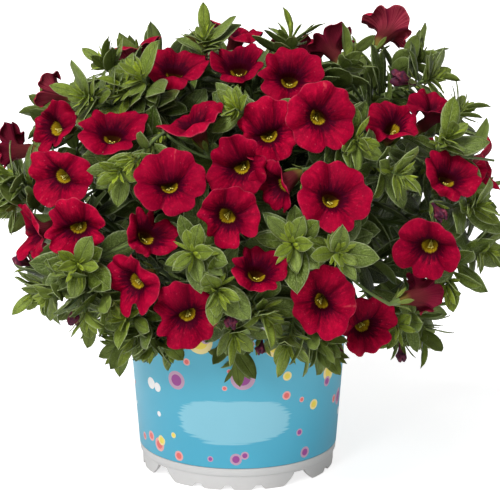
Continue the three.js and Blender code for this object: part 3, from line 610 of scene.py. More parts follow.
class Graph:
    """Adds nodes to a tree and joins them."""

    def __init__(self, tree):
        self.tree = tree

    def node(self, kind, **values):
        made = self.tree.nodes.new("ShaderNode" + kind)
        for key, value in values.items():
            setattr(made, key, value)
        return made

    def feed(self, node, **values):
        """Sets a node's inputs by name, or joins them to outputs."""
        for name, value in values.items():
            self.feed_socket(node.inputs[name.replace("_", " ")], value)
        return node

    def feed_socket(self, socket, value):
        if isinstance(value, Output):
            self.tree.links.new(value.socket, socket)
        else:
            socket.default_value = value

    def result(self, node, values, output=0):
        """Feeds a node's first inputs, and gives one of its outputs."""
        for socket, value in zip(node.inputs, values):
            self.feed_socket(socket, value)
        return Output(self, node.outputs[output])

    def math(self, operation, *values):
        return self.result(self.node("Math", operation=operation), values)

    def vector(self, operation, *values):
        made = self.node("VectorMath", operation=operation)
        return self.result(made, values, "Value" if operation == "LENGTH" else "Vector")

    def mix(self, factor, first, second):
        made = self.node("Mix", data_type="RGBA")
        for index, value in ((0, factor), (6, shown(first)), (7, shown(second))):
            self.feed_socket(made.inputs[index], value)
        return Output(self, made.outputs[2])

    def layers(self, colour, *layers):
        """Lays colours over one another, each through its own mask."""
        for mask, over in layers:
            colour = self.mix(mask, colour, over)
        return colour

    def ramp(self, factor, stops, interpolation="LINEAR"):
        made = self.node("ValToRGB")
        made.color_ramp.interpolation = interpolation
        elements = made.color_ramp.elements
        while len(elements) < len(stops):
            elements.new(0.5)
        for element, (place, colour) in zip(elements, stops):
            element.position = place
            element.color = shown(colour)
        return self.result(made, (factor,))

    def span(self, value, low, high, to_low=0.0, to_high=1.0):
        made = self.node("MapRange", interpolation_type="SMOOTHSTEP")
        return self.result(made, (value, low, high, to_low, to_high))

    def noise(self, place, scale, detail=3.0, roughness=0.5):
        made = self.node("TexNoise")
        self.feed(made, Vector=place, Scale=scale, Detail=detail, Roughness=roughness)
        return self.result(made, ())

    def attribute(self, name):
        return self.result(self.node("Attribute", attribute_name=name), (), "Fac")

    def flat_place(self, name):
        return self.result(self.node("UVMap", uv_map=name), ())

    def place(self):
        return self.result(self.node("TexCoord"), (), "Object")

    def parts(self, value, kind="SeparateXYZ"):
        """The three numbers that a place or a colour is made of."""
        made = self.node(kind)
        self.feed_socket(made.inputs[0], value)
        return [Output(self, socket) for socket in made.outputs]

    def joined(self, *values):
        return self.result(self.node("CombineXYZ"), values)

    def seen_or_not(self, unseen, seen):
        """One strength for what the camera sees, and another for the light that is thrown."""
        ray = self.result(self.node("LightPath"), (), "Is Camera Ray")
        return self.span(ray, 0.0, 1.0, unseen, seen)

    def paint(self, **values):
        self.feed(self.shader, **values)

    def bump(self, height, strength, distance):
        made = self.feed(self.node("Bump"), Strength=strength, Distance=distance, Height=height)
        self.paint(Normal=self.result(made, ()))

    def mottle(self, group, colour, scale, strength):
        """Paints the surface through the mottle group, and gives the height of the grain."""
        made = self.node("Group", node_tree=group)
        self.feed(made, Scale=scale, Strength=strength, Colour=shown(colour))
        self.paint(Base_Color=self.result(made, (), "Colour"))
        return self.result(made, (), "Height")


def mottle_group():
    """Uneven tone and fine grain over a colour, from Object coordinates."""
    group = bpy.data.node_groups.new("Mottle", "ShaderNodeTree")
    for name, kind, way in (
        ("Colour", "Color", "INPUT"), ("Scale", "Float", "INPUT"), ("Strength", "Float", "INPUT"),
        ("Colour", "Color", "OUTPUT"), ("Height", "Float", "OUTPUT"),
    ):
        group.interface.new_socket(name, in_out=way, socket_type="NodeSocket" + kind)
    graph = Graph(group)
    given = group.nodes.new("NodeGroupInput")
    colour, scale, strength = [graph.result(given, (), name) for name in ("Colour", "Scale", "Strength")]
    grain = graph.noise(graph.place(), scale, 2.0)
    factor = (grain - 0.5) * strength * 2.0 + 1.0
    scaled = graph.feed(graph.node("VectorMath", operation="SCALE"), Vector=colour, Scale=factor)
    graph.feed(group.nodes.new("NodeGroupOutput"), Colour=graph.result(scaled, ()), Height=grain)
    return group


def new_material(name, roughness, specular):
    material = bpy.data.materials.new(name)
    material.use_nodes = True
    graph = Graph(material.node_tree)
    graph.shader = material.node_tree.nodes["Principled BSDF"]
    graph.paint(Roughness=roughness, Specular_IOR_Level=specular)
    return material, graph


def leaf_material(mottle):
    """Green blade: darker when old, much darker deep inside the bush as painted shade, a pale midrib and
    edge, side veins, and a pale underside.
    """
    material, graph = new_material("leaf_green", 0.42, 0.26)
    span = graph.span
    across, along, _ = graph.parts(graph.flat_place("blade"))
    side = graph.math("ABSOLUTE", across - 0.5)
    fresh = graph.attribute("fresh")
    old = span(fresh, 1.1, 0.0)
    wave = graph.math("ABSOLUTE", graph.math("SINE", (along * 9.0 - side * 7.0) * pi))
    vein = span(wave, 0.0, 0.22, 1.0, 0.0)
    midrib = span(side, 0.01, 0.05, 1.0, 0.0)
    hair = graph.noise(graph.place(), 1300.0, 3.0, 0.7)
    colour = graph.layers(
        graph.mix(fresh, (52, 70, 6), (166, 186, 46)),
        (graph.attribute("tone") * 0.6 * old, (110, 128, 64)),
        # Painted shade: leaves below 0, deep in the bush, are darkened
        (span(fresh, 0.0, INNER_PAINTED_SHADE), (34, 46, 6)),
        (span(along, 0.45, 0.0) * fresh * 0.6, (164, 176, 58)),
        (vein * 0.18, (126, 144, 84)),
        (midrib * 0.36, (144, 158, 100)),
        ((old * 0.24 + 0.12) * span(hair, 0.5, 0.66), (156, 170, 106)),
        (span(hair, 0.5, 0.34) * 0.34, (38, 52, 14)),
        (span(side, 0.43, 0.49) * 0.6, (160, 170, 130)),
        (graph.attribute("under") * 0.55, (112, 128, 62)),
    )
    grain = graph.mottle(mottle, colour, 240.0, 0.4)
    graph.bump(grain - vein * 0.6 - midrib + hair * 0.5, 0.85, 0.0008)
    return material


def twig_material(mottle):
    material, graph = new_material("stem_green", 0.55, 0.4)
    graph.bump(graph.mottle(mottle, (92, 112, 50), 120.0, 0.3), 0.3, 0.0004)
    graph.paint(Sheen_Weight=0.2)
    return material


def bark_material(mottle):
    material, graph = new_material("woody_stem", 0.8, 0.3)
    graph.bump(graph.mottle(mottle, (104, 92, 58), 300.0, 0.5), 0.6, 0.0006)
    return material


def petal_material():
    """Velvet red limb and dusty rose behind, with painted shade in the creases and round the throat, painted
    highlights and sheen on the lobes and edges, and a yellow throat, its upper side painted shade, inside a
    dark ring.
    """
    material, graph = new_material("petal_red", 0.62, 0.035)
    span = graph.span
    flat = graph.flat_place("limb")
    flat_mm = graph.vector("MULTIPLY", flat, (LIMB_SPAN, LIMB_SPAN, 0.0))
    centred = graph.vector("SUBTRACT", flat, (0.5, 0.5, 0.0))
    radius = graph.vector("LENGTH", centred) * LIMB_SPAN
    outward = graph.vector("NORMALIZE", centred)
    x, y, _ = graph.parts(centred)
    lobe = graph.math("COSINE", graph.math("ARCTAN2", y, x) * LOBES)
    tone = graph.attribute("tone")
    lower = graph.attribute("lower")
    wide_circle = graph.vector("MULTIPLY", outward, (9.0, 9.0, 9.0))
    spokes = graph.vector("ADD", wide_circle, graph.joined(0, 0, tone * 40.0))
    fine = graph.noise(spokes, 3.0, 2.0, 0.6)
    broad = graph.noise(spokes, 0.5, 2.0, 0.5)
    rays = graph.vector("ADD", outward, graph.joined(0, 0, radius * 0.05 + tone * 9.0))
    streak = graph.noise(rays, 7.0, 4.0, 0.7)
    velvet = graph.noise(flat_mm, 1.1, 5.0, 0.75)
    speck = graph.noise(flat_mm, 0.9, 2.0, 0.5)
    painted_lobe_highlight = span(lobe, 0.4, -0.7) * span(radius, 7.0, 13.0)
    crease = graph.math("MAXIMUM", span(lobe, 0.9, 1.0), span(lobe, -0.94, -1.0) * 0.3)
    # Painted sheen: pinkish patches on the outer limb
    painted_sheen = span(broad, 0.66, 0.74) * span(streak, 0.42, 0.6) * span(radius, 11.0, 16.0, 0.0, 0.5)
    rim = graph.attribute("rim") ** 2.0 * span(streak, 0.35, 0.6, 0.1, 0.6)
    # Painted shade: darker toward the throat, reaching further out on the upper side
    painted_throat_shade = span(radius / (lower * -2.5 + 12.5), 1.0, 0.4)
    star = radius + (streak - 0.5) * 12.0
    ragged = radius + (fine - 0.5) * 1.8
    red = graph.layers(
        graph.mix(span(broad, 0.3, 0.7), (116, 0, 32), (146, 0, 40)),
        (span(fine, 0.5, 0.72) * 0.25, (94, 0, 26)),
        # Painted highlight on the middle of each lobe
        (painted_lobe_highlight * 0.35, (182, 2, 46)),
        (span(streak, 0.5, 0.68) * 0.55, (208, 14, 58)),
        (span(streak, 0.48, 0.32) * 0.55, (88, 0, 26)),
        (span(velvet, 0.5, 0.75) * 0.5, (196, 8, 56)),
        (span(velvet, 0.5, 0.3) * 0.45, (98, 0, 28)),
        # Painted light: lighter toward the outer edge
        (span(radius, 9.0, 19.0) * 0.3, (188, 6, 54)),
        # Painted sheen: sparse light specks of the velvet
        (span(speck, 0.66, 0.76) * 0.4, (232, 84, 112)),
        (painted_sheen, (212, 88, 92)),
        # Painted highlight along the rim of the limb
        (rim, (222, 84, 108)),
        # Painted shade in the creases between the lobes, fading outward
        (crease * (span(radius, 20.0, 8.0) * 0.75), (58, 0, 18)),
        # Tone: random per flower, and painted shade for the flowers that TONES sets dark
        (tone * 0.4, (98, 0, 30)),
        (painted_throat_shade * 0.85, (62, 0, 20)),
        (span(star, 9.5, 6.5) * 0.7, (46, 0, 22)),
        (span(ragged, 6.4, 5.4), (52, 0, 14)),
    )
    yellow = graph.layers(
        graph.mix(span(radius, 2.0, 4.6), (132, 112, 20), (170, 142, 24)),
        (span(fine, 0.46, 0.62) * 0.75, (96, 62, 6)),
    )
    # Painted shade: the upper side of the throat is dark, only the side that lies below is yellow, and the
    # pit is darker still
    yellow = graph.mix(span(lower, -0.3, 0.1), (66, 34, 8), yellow)
    throat = span(ragged - (lower * 0.7 + 4.15), 0.3, -0.3)
    front = graph.layers(red, (throat, yellow), (span(radius, 1.9, 0.8), (84, 66, 10)))
    back = graph.layers(
        graph.mix(span(fine, 0.35, 0.65), (122, 26, 48), (164, 62, 76)),
        # Painted highlight toward the edge of the back
        (span(radius, 13.0, 19.0) * 0.7, (196, 92, 100)),
        # Tone: random per flower, and painted shade for the flowers that TONES sets dark
        (tone * 0.85, (88, 4, 30)),
        # Painted shade in the folds behind
        (crease * 0.7, (80, 10, 34)),
        (span(radius, 9.0, 4.5), (92, 34, 36)),
        (span(radius, 4.2, 2.4), (118, 100, 46)),
    )
    graph.paint(Base_Color=graph.mix(graph.attribute("back"), front, back))
    graph.bump(fine * 0.6 + crease * -0.6 + velvet * 0.5 + streak * 0.8, 0.6, 0.0007)
    return material


def anther_material():
    material, graph = new_material("anther_yellow", 0.18, 0.7)
    grain = graph.noise(graph.place(), 900.0, 2.0)
    graph.paint(Base_Color=graph.mix(grain, (196, 178, 40), (244, 236, 130)), Coat_Weight=0.5)
    return material


def spent_material():
    """Withered flower: purple and crimson streaks along its folds."""
    material, graph = new_material("spent_purple", 0.6, 0.3)
    streak = graph.noise(graph.place(), 420.0, 4.0, 0.6)
    stops = ((0.3, (44, 14, 34)), (0.5, (86, 28, 56)), (0.62, (108, 26, 46)), (0.75, (146, 84, 102)))
    graph.paint(Base_Color=graph.ramp(streak, stops))
    graph.bump(streak, 0.7, 0.0008)
    return material


def pot_material(mottle):
    material, graph = new_material("pot_plastic", 0.42, 0.5)
    graph.mottle(mottle, (214, 212, 211), 40.0, 0.05)
    graph.bump(graph.noise(graph.place(), 1800.0, 2.0), 0.12, 0.0002)
    return material


def panel_shape(graph, flat):
    """A rounded figure round the middle of the front panel: 1 on its outline and less inside."""
    shares = []
    for place, middle, half in zip(graph.parts(flat), PANEL_MIDDLE, PANEL_HALF):
        shares.append(graph.math("ABSOLUTE", (place - middle) / half) ** PANEL_POWER)
    return shares[0] + shares[1]


def dot_layer(graph, flat, spacing, share, size, offset):
    """Round dots, one to some of the cells of a scattered pattern: their mask, ring and tone."""
    shift = (offset, offset * 0.7, 0.0)
    cells = graph.node("TexVoronoi", voronoi_dimensions="2D", feature="F1")
    graph.feed(cells, Vector=graph.vector("ADD", flat, shift), Scale=1 / spacing, Randomness=0.75)
    chance, width, tone = graph.parts(graph.result(cells, (), "Color"), "SeparateColor")
    distance = graph.result(cells, (), "Distance") * spacing
    radius = (width + 0.6) * size
    middle = graph.vector("SUBTRACT", graph.result(cells, (), "Position"), shift)
    beyond = graph.math("GREATER_THAN", panel_shape(graph, middle), 2.0)
    mask = graph.math("LESS_THAN", distance, radius) * (graph.math("LESS_THAN", chance, share) * beyond)
    return mask, mask * graph.math("GREATER_THAN", distance, radius * 0.62), tone


def sleeve_material(mottle):
    """Sky-blue print with scattered dots and rings and a plain pale panel at the front."""
    material, graph = new_material("sleeve_print", 0.38, 0.5)
    x, y, z = graph.parts(graph.place())
    height = z * (1 / MM)
    flat = graph.joined(graph.math("ARCTAN2", x, y * -1.0) * 60.0, height)
    colour = graph.mix(graph.span(height, SLEEVE_BOTTOM, SLEEVE_TOP), (74, 177, 208), (90, 185, 212))
    for layer in DOT_LAYERS:
        mask, ring, tone = dot_layer(graph, flat, *layer)
        dots = graph.mix(ring * 0.35, graph.ramp(tone, DOT_COLOURS, "CONSTANT"), (255, 240, 235))
        colour = graph.mix(mask, colour, dots)
    brushed = graph.noise(graph.vector("MULTIPLY", flat, (0.05, 1.0, 1.0)), 0.7, 3.0)
    panel = graph.span(panel_shape(graph, flat) + brushed * 1.1, 1.6, 1.4)
    graph.mottle(mottle, graph.mix(panel, colour, (138, 206, 226)), 30.0, 0.04)
    return material


def soil_material():
    material, graph = new_material("potting_mix", 0.95, 0.2)
    crumb = graph.noise(graph.place(), 380.0, 6.0, 0.65)
    stops = ((0.3, (22, 16, 12)), (0.5, (48, 35, 26)), (0.66, (78, 60, 44)), (0.74, (150, 140, 126)))
    graph.paint(Base_Color=graph.ramp(crumb, stops))
    graph.bump(crumb, 1.0, 0.002)
    return material


# Mesh helpers

def add_object(name, data):
    made = bpy.data.objects.new(name, data)
    bpy.context.scene.collection.objects.link(made)
    return made


def smooth(mesh):
    mesh.polygons.foreach_set("use_smooth", [True] * len(mesh.polygons))


def mesh_of(bm, name):
    mesh = bpy.data.meshes.new(name)
    bm.to_mesh(mesh)
    bm.free()
    return mesh


def finish_piece(bm, name, *materials):
    """Turns a mesh made in millimetres into a scene object at the origin."""
    bmesh.ops.scale(bm, vec=(MM, MM, MM), verts=bm.verts)
    mesh = mesh_of(bm, name)
    for material in materials:
        mesh.materials.append(material)
    if materials:
        smooth(mesh)
    return add_object(name, mesh)


def evaluated_mesh(thing):
    """The mesh of an object once its curves or modifiers are worked out."""
    bpy.context.view_layer.update()
    return bpy.data.meshes.new_from_object(thing.evaluated_get(bpy.context.evaluated_depsgraph_get()))


def seat(piece, node):
    """Rides a piece on the pot's body and hides the solid node that it stands in for."""
    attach(piece, "root")
    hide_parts(node)


def spin_profile(profile, steps, bm=None, layer=None, marks=()):
    """Turns an outline of radius and height round the upright axis into a closed skin."""
    bm = bm or bmesh.new()
    corners = [bm.verts.new((radius, 0, height)) for radius, height in profile]
    for corner, mark in zip(corners, marks):
        corner[layer] = mark
    edges = [bm.edges.new(pair) for pair in zip(corners, corners[1:])]
    bmesh.ops.spin(bm, geom=corners + edges, cent=(0, 0, 0), axis=(0, 0, 1),
                   angle=TURN, steps=steps, use_merge=True)
    bmesh.ops.remove_doubles(bm, verts=bm.verts, dist=0.001)
    bmesh.ops.recalc_face_normals(bm, faces=bm.faces)
    return bm


def frame_matrix(place, across, upward, axis):
    columns = Matrix((across, upward, axis)).transposed().to_4x4()
    columns.translation = place
    return columns


def tubes(name, lines, material, sides=2):
    """One mesh of round tubes, each line a list of points with a radius."""
    data = bpy.data.curves.new(name, "CURVE")
    data.dimensions = "3D"
    data.bevel_depth = 1.0
    data.bevel_resolution = sides
    data.use_fill_caps = True
    for line in lines:
        spline = data.splines.new("POLY")
        spline.points.add(len(line) - 1)
        for point, (place, radius) in zip(spline.points, line):
            point.co = (*place, 1)
            point.radius = radius
    draft = add_object(name + "_draft", data)
    mesh = evaluated_mesh(draft)
    bpy.data.objects.remove(draft)
    mesh.transform(Matrix.Scale(MM, 4))
    mesh.name = name
    mesh.materials.clear()
    mesh.materials.append(material)
    smooth(mesh)
    return add_object(name, mesh)


# Pot, sleeve and soil

def wall_radius(height):
    return WALL_BASE_RADIUS + WALL_SLOPE * height


def add_cut(bm, azimuth, bottom_width, top_width, height):
    """A wedge through the foot whose sides curve in from a wide bottom to a narrow top."""
    steps = 6
    side = [(bottom_width / 2, -1)]
    for step in range(steps + 1):
        rest = (1 - step / steps) ** CUT_ROUNDING
        side.append((top_width / 2 + (bottom_width - top_width) / 2 * rest, height * step / steps))
    outline = side + [(-across, up) for across, up in reversed(side)]
    corners = [bm.verts.new((across, -CUT_START, up)) for across, up in outline]
    made = bmesh.ops.extrude_face_region(bm, geom=[bm.faces.new(corners)])["geom"]
    far = [part for part in made if isinstance(part, bmesh.types.BMVert)]
    bmesh.ops.translate(bm, verts=far, vec=(0, -CUT_DEPTH, 0))
    turn = Matrix.Rotation(radians(azimuth), 3, "Z")
    bmesh.ops.rotate(bm, verts=corners + far, cent=(0, 0, 0), matrix=turn)


def foot_cutter():
    """Wedges for the four arches and the small notches of the foot, as one mesh."""
    bm = bmesh.new()
    for arch in range(ARCH_COUNT):
        middle = FOOT_PATTERN_TURN + arch * 360 / ARCH_COUNT
        add_cut(bm, middle + 180 / ARCH_COUNT, ARCH_BOTTOM_WIDTH, ARCH_TOP_WIDTH, ARCH_HEIGHT)
        for step in (-NOTCH_STEP, 0, NOTCH_STEP):
            add_cut(bm, middle + step, NOTCH_BOTTOM_WIDTH, NOTCH_TOP_WIDTH, NOTCH_HEIGHT)
    bmesh.ops.recalc_face_normals(bm, faces=bm.faces)
    return finish_piece(bm, "foot_cutter")


def make_pot(material):
    crease = wall_radius(FOOT_CREASE_HEIGHT)
    lip = wall_radius(RIM_BOTTOM)
    rim = wall_radius(POT_HEIGHT) + RIM_LIP
    inside = wall_radius(POT_HEIGHT) - WALL_THICKNESS
    profile = (
        (0, FLOOR_UNDERSIDE), (FOOT_BOTTOM_RADIUS - 2.2, FLOOR_UNDERSIDE),
        (FOOT_BOTTOM_RADIUS - 1.7, 0.3), (FOOT_BOTTOM_RADIUS - 1.5, 0),
        (FOOT_BOTTOM_RADIUS - 0.3, 0), (FOOT_BOTTOM_RADIUS, 0.3),
        (crease - 1.3, FOOT_CREASE_HEIGHT), (crease - 0.5, FOOT_CREASE_HEIGHT + 0.1),
        (crease - 0.15, FOOT_CREASE_HEIGHT + 0.6),
        (wall_radius(SLEEVE_BOTTOM - 0.5), SLEEVE_BOTTOM - 0.5),
        (wall_radius(SLEEVE_BOTTOM - 0.3) - 0.1, SLEEVE_BOTTOM - 0.3),
        (wall_radius(SLEEVE_BOTTOM) - SLEEVE_RECESS, SLEEVE_BOTTOM - 0.3),
        (wall_radius(SLEEVE_TOP) - SLEEVE_RECESS, SLEEVE_TOP + 0.3),
        (lip - 0.2, SLEEVE_TOP + 0.3), (lip, SLEEVE_TOP + 0.6),
        (lip + RIM_LIP - 0.3, RIM_BOTTOM), (lip + RIM_LIP, RIM_BOTTOM + 0.3),
        (rim, POT_HEIGHT - 1.0), (rim - 0.3, POT_HEIGHT - 0.3), (rim - 1.0, POT_HEIGHT),
        (inside + 0.4, POT_HEIGHT), (inside, POT_HEIGHT - 0.4),
        (wall_radius(FLOOR_TOP) - WALL_THICKNESS, FLOOR_TOP), (0, FLOOR_TOP),
    )
    pot = finish_piece(spin_profile(profile, POT_STEPS), "nursery_pot", material)
    cutter = foot_cutter()
    carve = pot.modifiers.new("foot arches", "BOOLEAN")
    carve.operation = "DIFFERENCE"
    carve.object = cutter
    carve.solver = "EXACT"
    carved = evaluated_mesh(pot)
    pot.modifiers.clear()
    pot.data = carved
    bpy.data.objects.remove(cutter)
    carved.set_sharp_from_angle(angle=SHARP_EDGE)
    seat(pot, "pot")


def make_sleeve(material):
    bottom = wall_radius(SLEEVE_BOTTOM)
    top = wall_radius(SLEEVE_TOP)
    profile = (
        (bottom - SLEEVE_THICKNESS, SLEEVE_BOTTOM), (bottom - 0.1, SLEEVE_BOTTOM),
        (bottom, SLEEVE_BOTTOM + 0.15), (top, SLEEVE_TOP - 0.15), (top - 0.1, SLEEVE_TOP),
        (top - SLEEVE_THICKNESS, SLEEVE_TOP), (bottom - SLEEVE_THICKNESS, SLEEVE_BOTTOM),
    )
    sleeve = finish_piece(spin_profile(profile, POT_STEPS), "printed_sleeve", material)
    sleeve.data.set_sharp_from_angle(angle=SHARP_EDGE)
    seat(sleeve, "label_sleeve")


def make_soil(material):
    edge = WALL_THICKNESS + SOIL_GAP
    outer = wall_radius(SOIL_TOP - 2) - edge
    profile = [(0, FLOOR_TOP + SOIL_GAP), (wall_radius(FLOOR_TOP) - edge, FLOOR_TOP + SOIL_GAP)]
    for ring in range(SOIL_RINGS + 1):
        radius = outer * (1 - ring / SOIL_RINGS)
        profile.append((radius, SOIL_TOP - 2 * (radius / outer) ** 4))
    bm = spin_profile(profile, SOIL_STEPS)
    for vertex in bm.verts:
        level = hypot(vertex.co.x, vertex.co.y)
        if vertex.co.z > SOIL_TOP - 5 and level < outer * 0.98:
            vertex.co.z += CRUMB_HEIGHT * noise.fractal(vertex.co * 0.16, 0.8, 2.0, 4)
    seat(finish_piece(bm, "potting_mix", material), "soil")


# Flowers

def limb_shape(seed, wild, limb, angle, outer):
    """How far the limb reaches at an angle, and how far it stands forward at a share of its width."""
    turned = (angle + LOBE_TURN / 2) % TURN
    seam = int(turned / LOBE_TURN)
    apart = abs(turned % LOBE_TURN - LOBE_TURN / 2)
    lobe = int((angle % TURN) / LOBE_TURN)
    swell = 0.5 - 0.5 * cos(LOBES * angle)
    rolled = draw(seed, 2, lobe, 2)
    curl = (4 * rolled - 1 + wild * (7.5 * rolled ** 2 - 1.5)) * swell
    # Five broad, faintly dented lobes, each shortened and rolled back by its own amount, with notches between
    depth = 0.07 + (0.03 + 0.3 * wild) * draw(seed, 7, seam, 1) ** 2.5
    width = between(0.1, 0.14 + 0.14 * wild, seed, 7, seam, 2)
    notch = depth * exp(-(apart / width) ** 2)
    shoulder = 0.08 * (1 - swell) ** 1.5
    dent = between(0, 0.07, seed, 7, lobe, 5) * exp(-((apart - LOBE_TURN / 2) / 0.15) ** 2)
    shorter = between(0, 0.02 + 0.12 * wild, seed, 7, lobe, 3) * swell
    reach = 1.02 - min(0.3, 0.9 * (curl / limb) ** 2) - notch - shoulder - dent - shorter
    # Saddle, puffed lobes, creases, curl, cup, bend and ripple
    saddle = LIMB_WAVE * (1 + wild) * cos(2 * angle + TURN * draw(seed, 1, 0, 1)) * outer
    puff = 2.6 * swell * outer * (1 - outer) * 4
    crease = between(1.6, 2.8 + wild, seed, 7, seam, 4) * outer * exp(-(apart / 0.16) ** 2)
    cup = between(-0.6, 1.6 + wild, seed, 2, 0, 3) * outer ** 2
    bend = (0.6 + wild) * cos(3 * angle + TURN * draw(seed, 2, 0, 4)) * outer ** 2
    ripple = 0.4 * outer ** 2 * sin(13 * angle + 9 * draw(seed, 2, 0, 1))
    return reach, saddle + puff - crease - curl * outer ** 3 + cup + bend + ripple


def widen(point, share):
    """Moves a point away from its flower's axis by a share of its distance."""
    point.x *= 1 + share
    point.y *= 1 + share


def wave_limb(part, seed, wild, limb, rim):
    """Cuts the limb into lobes, lifts and creases them, and marks the rim."""
    for vertex in part.verts:
        point = vertex.co
        angle = atan2(point.y, point.x)
        outer = clamped((hypot(point.x, point.y) - FUNNEL_RADIUS) / limb)
        vertex[rim] = max(0.0, (outer - RIM_START) / (1 - RIM_START))
        if outer > 0:
            reach, lift = limb_shape(seed, wild, limb, angle, outer)
            widen(point, (reach - 1) * outer ** 1.5)
            point.z += lift


def below_and_aside(point, down):
    """How far a point of a flower lies toward the way down, and to the side of it."""
    return point.x * down.x + point.y * down.y, point.y * down.x - point.x * down.y


def form_limb(part, down, along, across, forms):
    """Draws a limb out up and down and across, then lengthens or shortens it around some angles."""
    for point in [vertex.co for vertex in part.verts]:
        below, aside = below_and_aside(point, down)
        point.x = below * along * down.x - aside * across * down.y
        point.y = below * along * down.y + aside * across * down.x
        below, aside = below_and_aside(point, down)
        outer = clamped((hypot(below, aside) - FUNNEL_RADIUS) / 12)
        change = 0.0
        for angle, spread, amount in forms:
            apart = (degrees(atan2(aside, below)) - angle + 180) % 360 - 180
            change += amount * outer * exp(-(apart / spread) ** 2)
        widen(point, change)


def flatten_throat(part, down, share):
    """Draws the upper lip down over the throat, so that its mouth is a half disc."""
    for point in [vertex.co for vertex in part.verts]:
        below, _ = below_and_aside(point, down)
        near = clamped((13 - hypot(point.x, point.y)) / 7)
        shallow = clamped((point.z + 13) / 6)
        if below < 0:
            shift = below * (share - 1) * near * shallow
            point.x += down.x * shift
            point.y += down.y * shift


def way_down(matrix):
    """The way down in the plane of a flower with this frame."""
    down = matrix.to_3x3().inverted() @ Vector((0, 0, -1))
    down.z = 0
    return down.normalized() if down.length > 0.1 else Vector((1, 0, 0))


def add_anthers(part, down, seed):
    """Anthers and a stigma on thin filaments, leaning to the lower side of the throat."""
    side = Vector((-down.y, down.x, 0))
    foot = Vector((0, 0, -12))
    for index in range(ANTHERS):
        sideways = 0.85 * (index - 1.5) + 0.5 * (draw(seed, 3, index, 1) - 0.5)
        head = down * between(2.0, 2.9, seed, 3, index, 2) + side * sideways
        head.z = between(-8.0, -7.3, seed, 3, index, 3)
        lean = (head - foot).to_track_quat("Z", "Y").to_matrix().to_4x4()
        made = bmesh.ops.create_icosphere(part, subdivisions=1, radius=ANTHER_RADIUS,
                                          matrix=Matrix.Translation(head))["verts"]
        stalk = Matrix.Translation(foot.lerp(head, 0.5)) @ lean
        made += bmesh.ops.create_cone(
            part, cap_ends=True, segments=5, radius1=FILAMENT_FOOT_RADIUS, radius2=FILAMENT_TIP_RADIUS,
            depth=(head - foot).length, matrix=stalk,
        )["verts"]
        for face in {face for vertex in made for face in vertex.link_faces}:
            face.material_index = 1


def add_corolla(bm, bloom):
    """A funnel spun from its section, then lobed, waved and creased, with its anthers."""
    seed = bloom.seed
    limb = bloom.diameter / 2 - FUNNEL_RADIUS
    front = FUNNEL_FRONT + tuple((FUNNEL_RADIUS + limb * share, height) for share, height in LIMB_FRONT)
    rear = tuple((FUNNEL_RADIUS + limb * share, height) for share, height in LIMB_REAR) + FUNNEL_REAR
    part = bmesh.new()
    back, lower, tone, rim = [part.verts.layers.float.new(name) for name in ("back", "lower", "tone", "rim")]
    flat = part.loops.layers.uv.new("limb")
    spin_profile(front + rear, LIMB_STEPS, part, back, [0.0] * len(front) + [1.0] * len(rear))
    wild = 0.3 if bloom.name in CALM_BLOOMS else between(0.6, 1.1, seed, 7, 0, 0)
    wave_limb(part, seed, wild, limb, rim)
    for face in part.faces:
        for loop in face.loops:
            loop[flat].uv = (0.5 + loop.vert.co.x / LIMB_SPAN, 0.5 + loop.vert.co.y / LIMB_SPAN)
    across = around(bloom.axis, bloom.roll)
    matrix = frame_matrix(bloom.place, across, bloom.axis.cross(across), bloom.axis)
    down = way_down(matrix)
    form_limb(part, down, *DRAWN_OUT.get(bloom.name, (1.0, 1.0)), LOBE_FORMS.get(bloom.name, ()))
    # The throat is painted as lit from above: yellow on the side that lies below, give or take, and painted
    # shade on the upper side
    down = Matrix.Rotation(radians(between(-50, 50, seed, 6, 0, 1)), 3, "Z") @ down
    for vertex in part.verts:
        radius = max(hypot(vertex.co.x, vertex.co.y), 0.001)
        vertex[lower] = below_and_aside(vertex.co, down)[0] / radius
        vertex[tone] = TONES.get(bloom.name, draw(seed, 8, 0, 1))
    flatten_throat(part, down, between(0.1, 0.7, seed, 6, 0, 2))
    add_anthers(part, down, seed)
    bmesh.ops.transform(part, matrix=matrix, verts=part.verts)
    draft = mesh_of(part, "draft")
    bm.from_mesh(draft)
    bpy.data.meshes.remove(draft)


def make_corollas(blooms, petal, anther):
    by_name = {bloom.name: bloom for bloom in blooms}
    fused = {name for names in FUSED_BLOOMS for name in names}
    groups = [("blooms_" + names[0], names) for names in FUSED_BLOOMS]
    groups += [("bloom_" + name, (name,)) for name in by_name if name not in fused]
    for node, names in groups:
        bm = bmesh.new()
        for name in names:
            add_corolla(bm, by_name[name])
        seat(finish_piece(bm, node.replace("bloom", "corolla"), petal, anther), node)


# Leaves

def leaf_mesh():
    bm = bmesh.new()
    bm.loops.layers.uv.new("blade")
    for name in ("under", "fresh", "tone"):
        bm.verts.layers.float.new(name)
    return bm


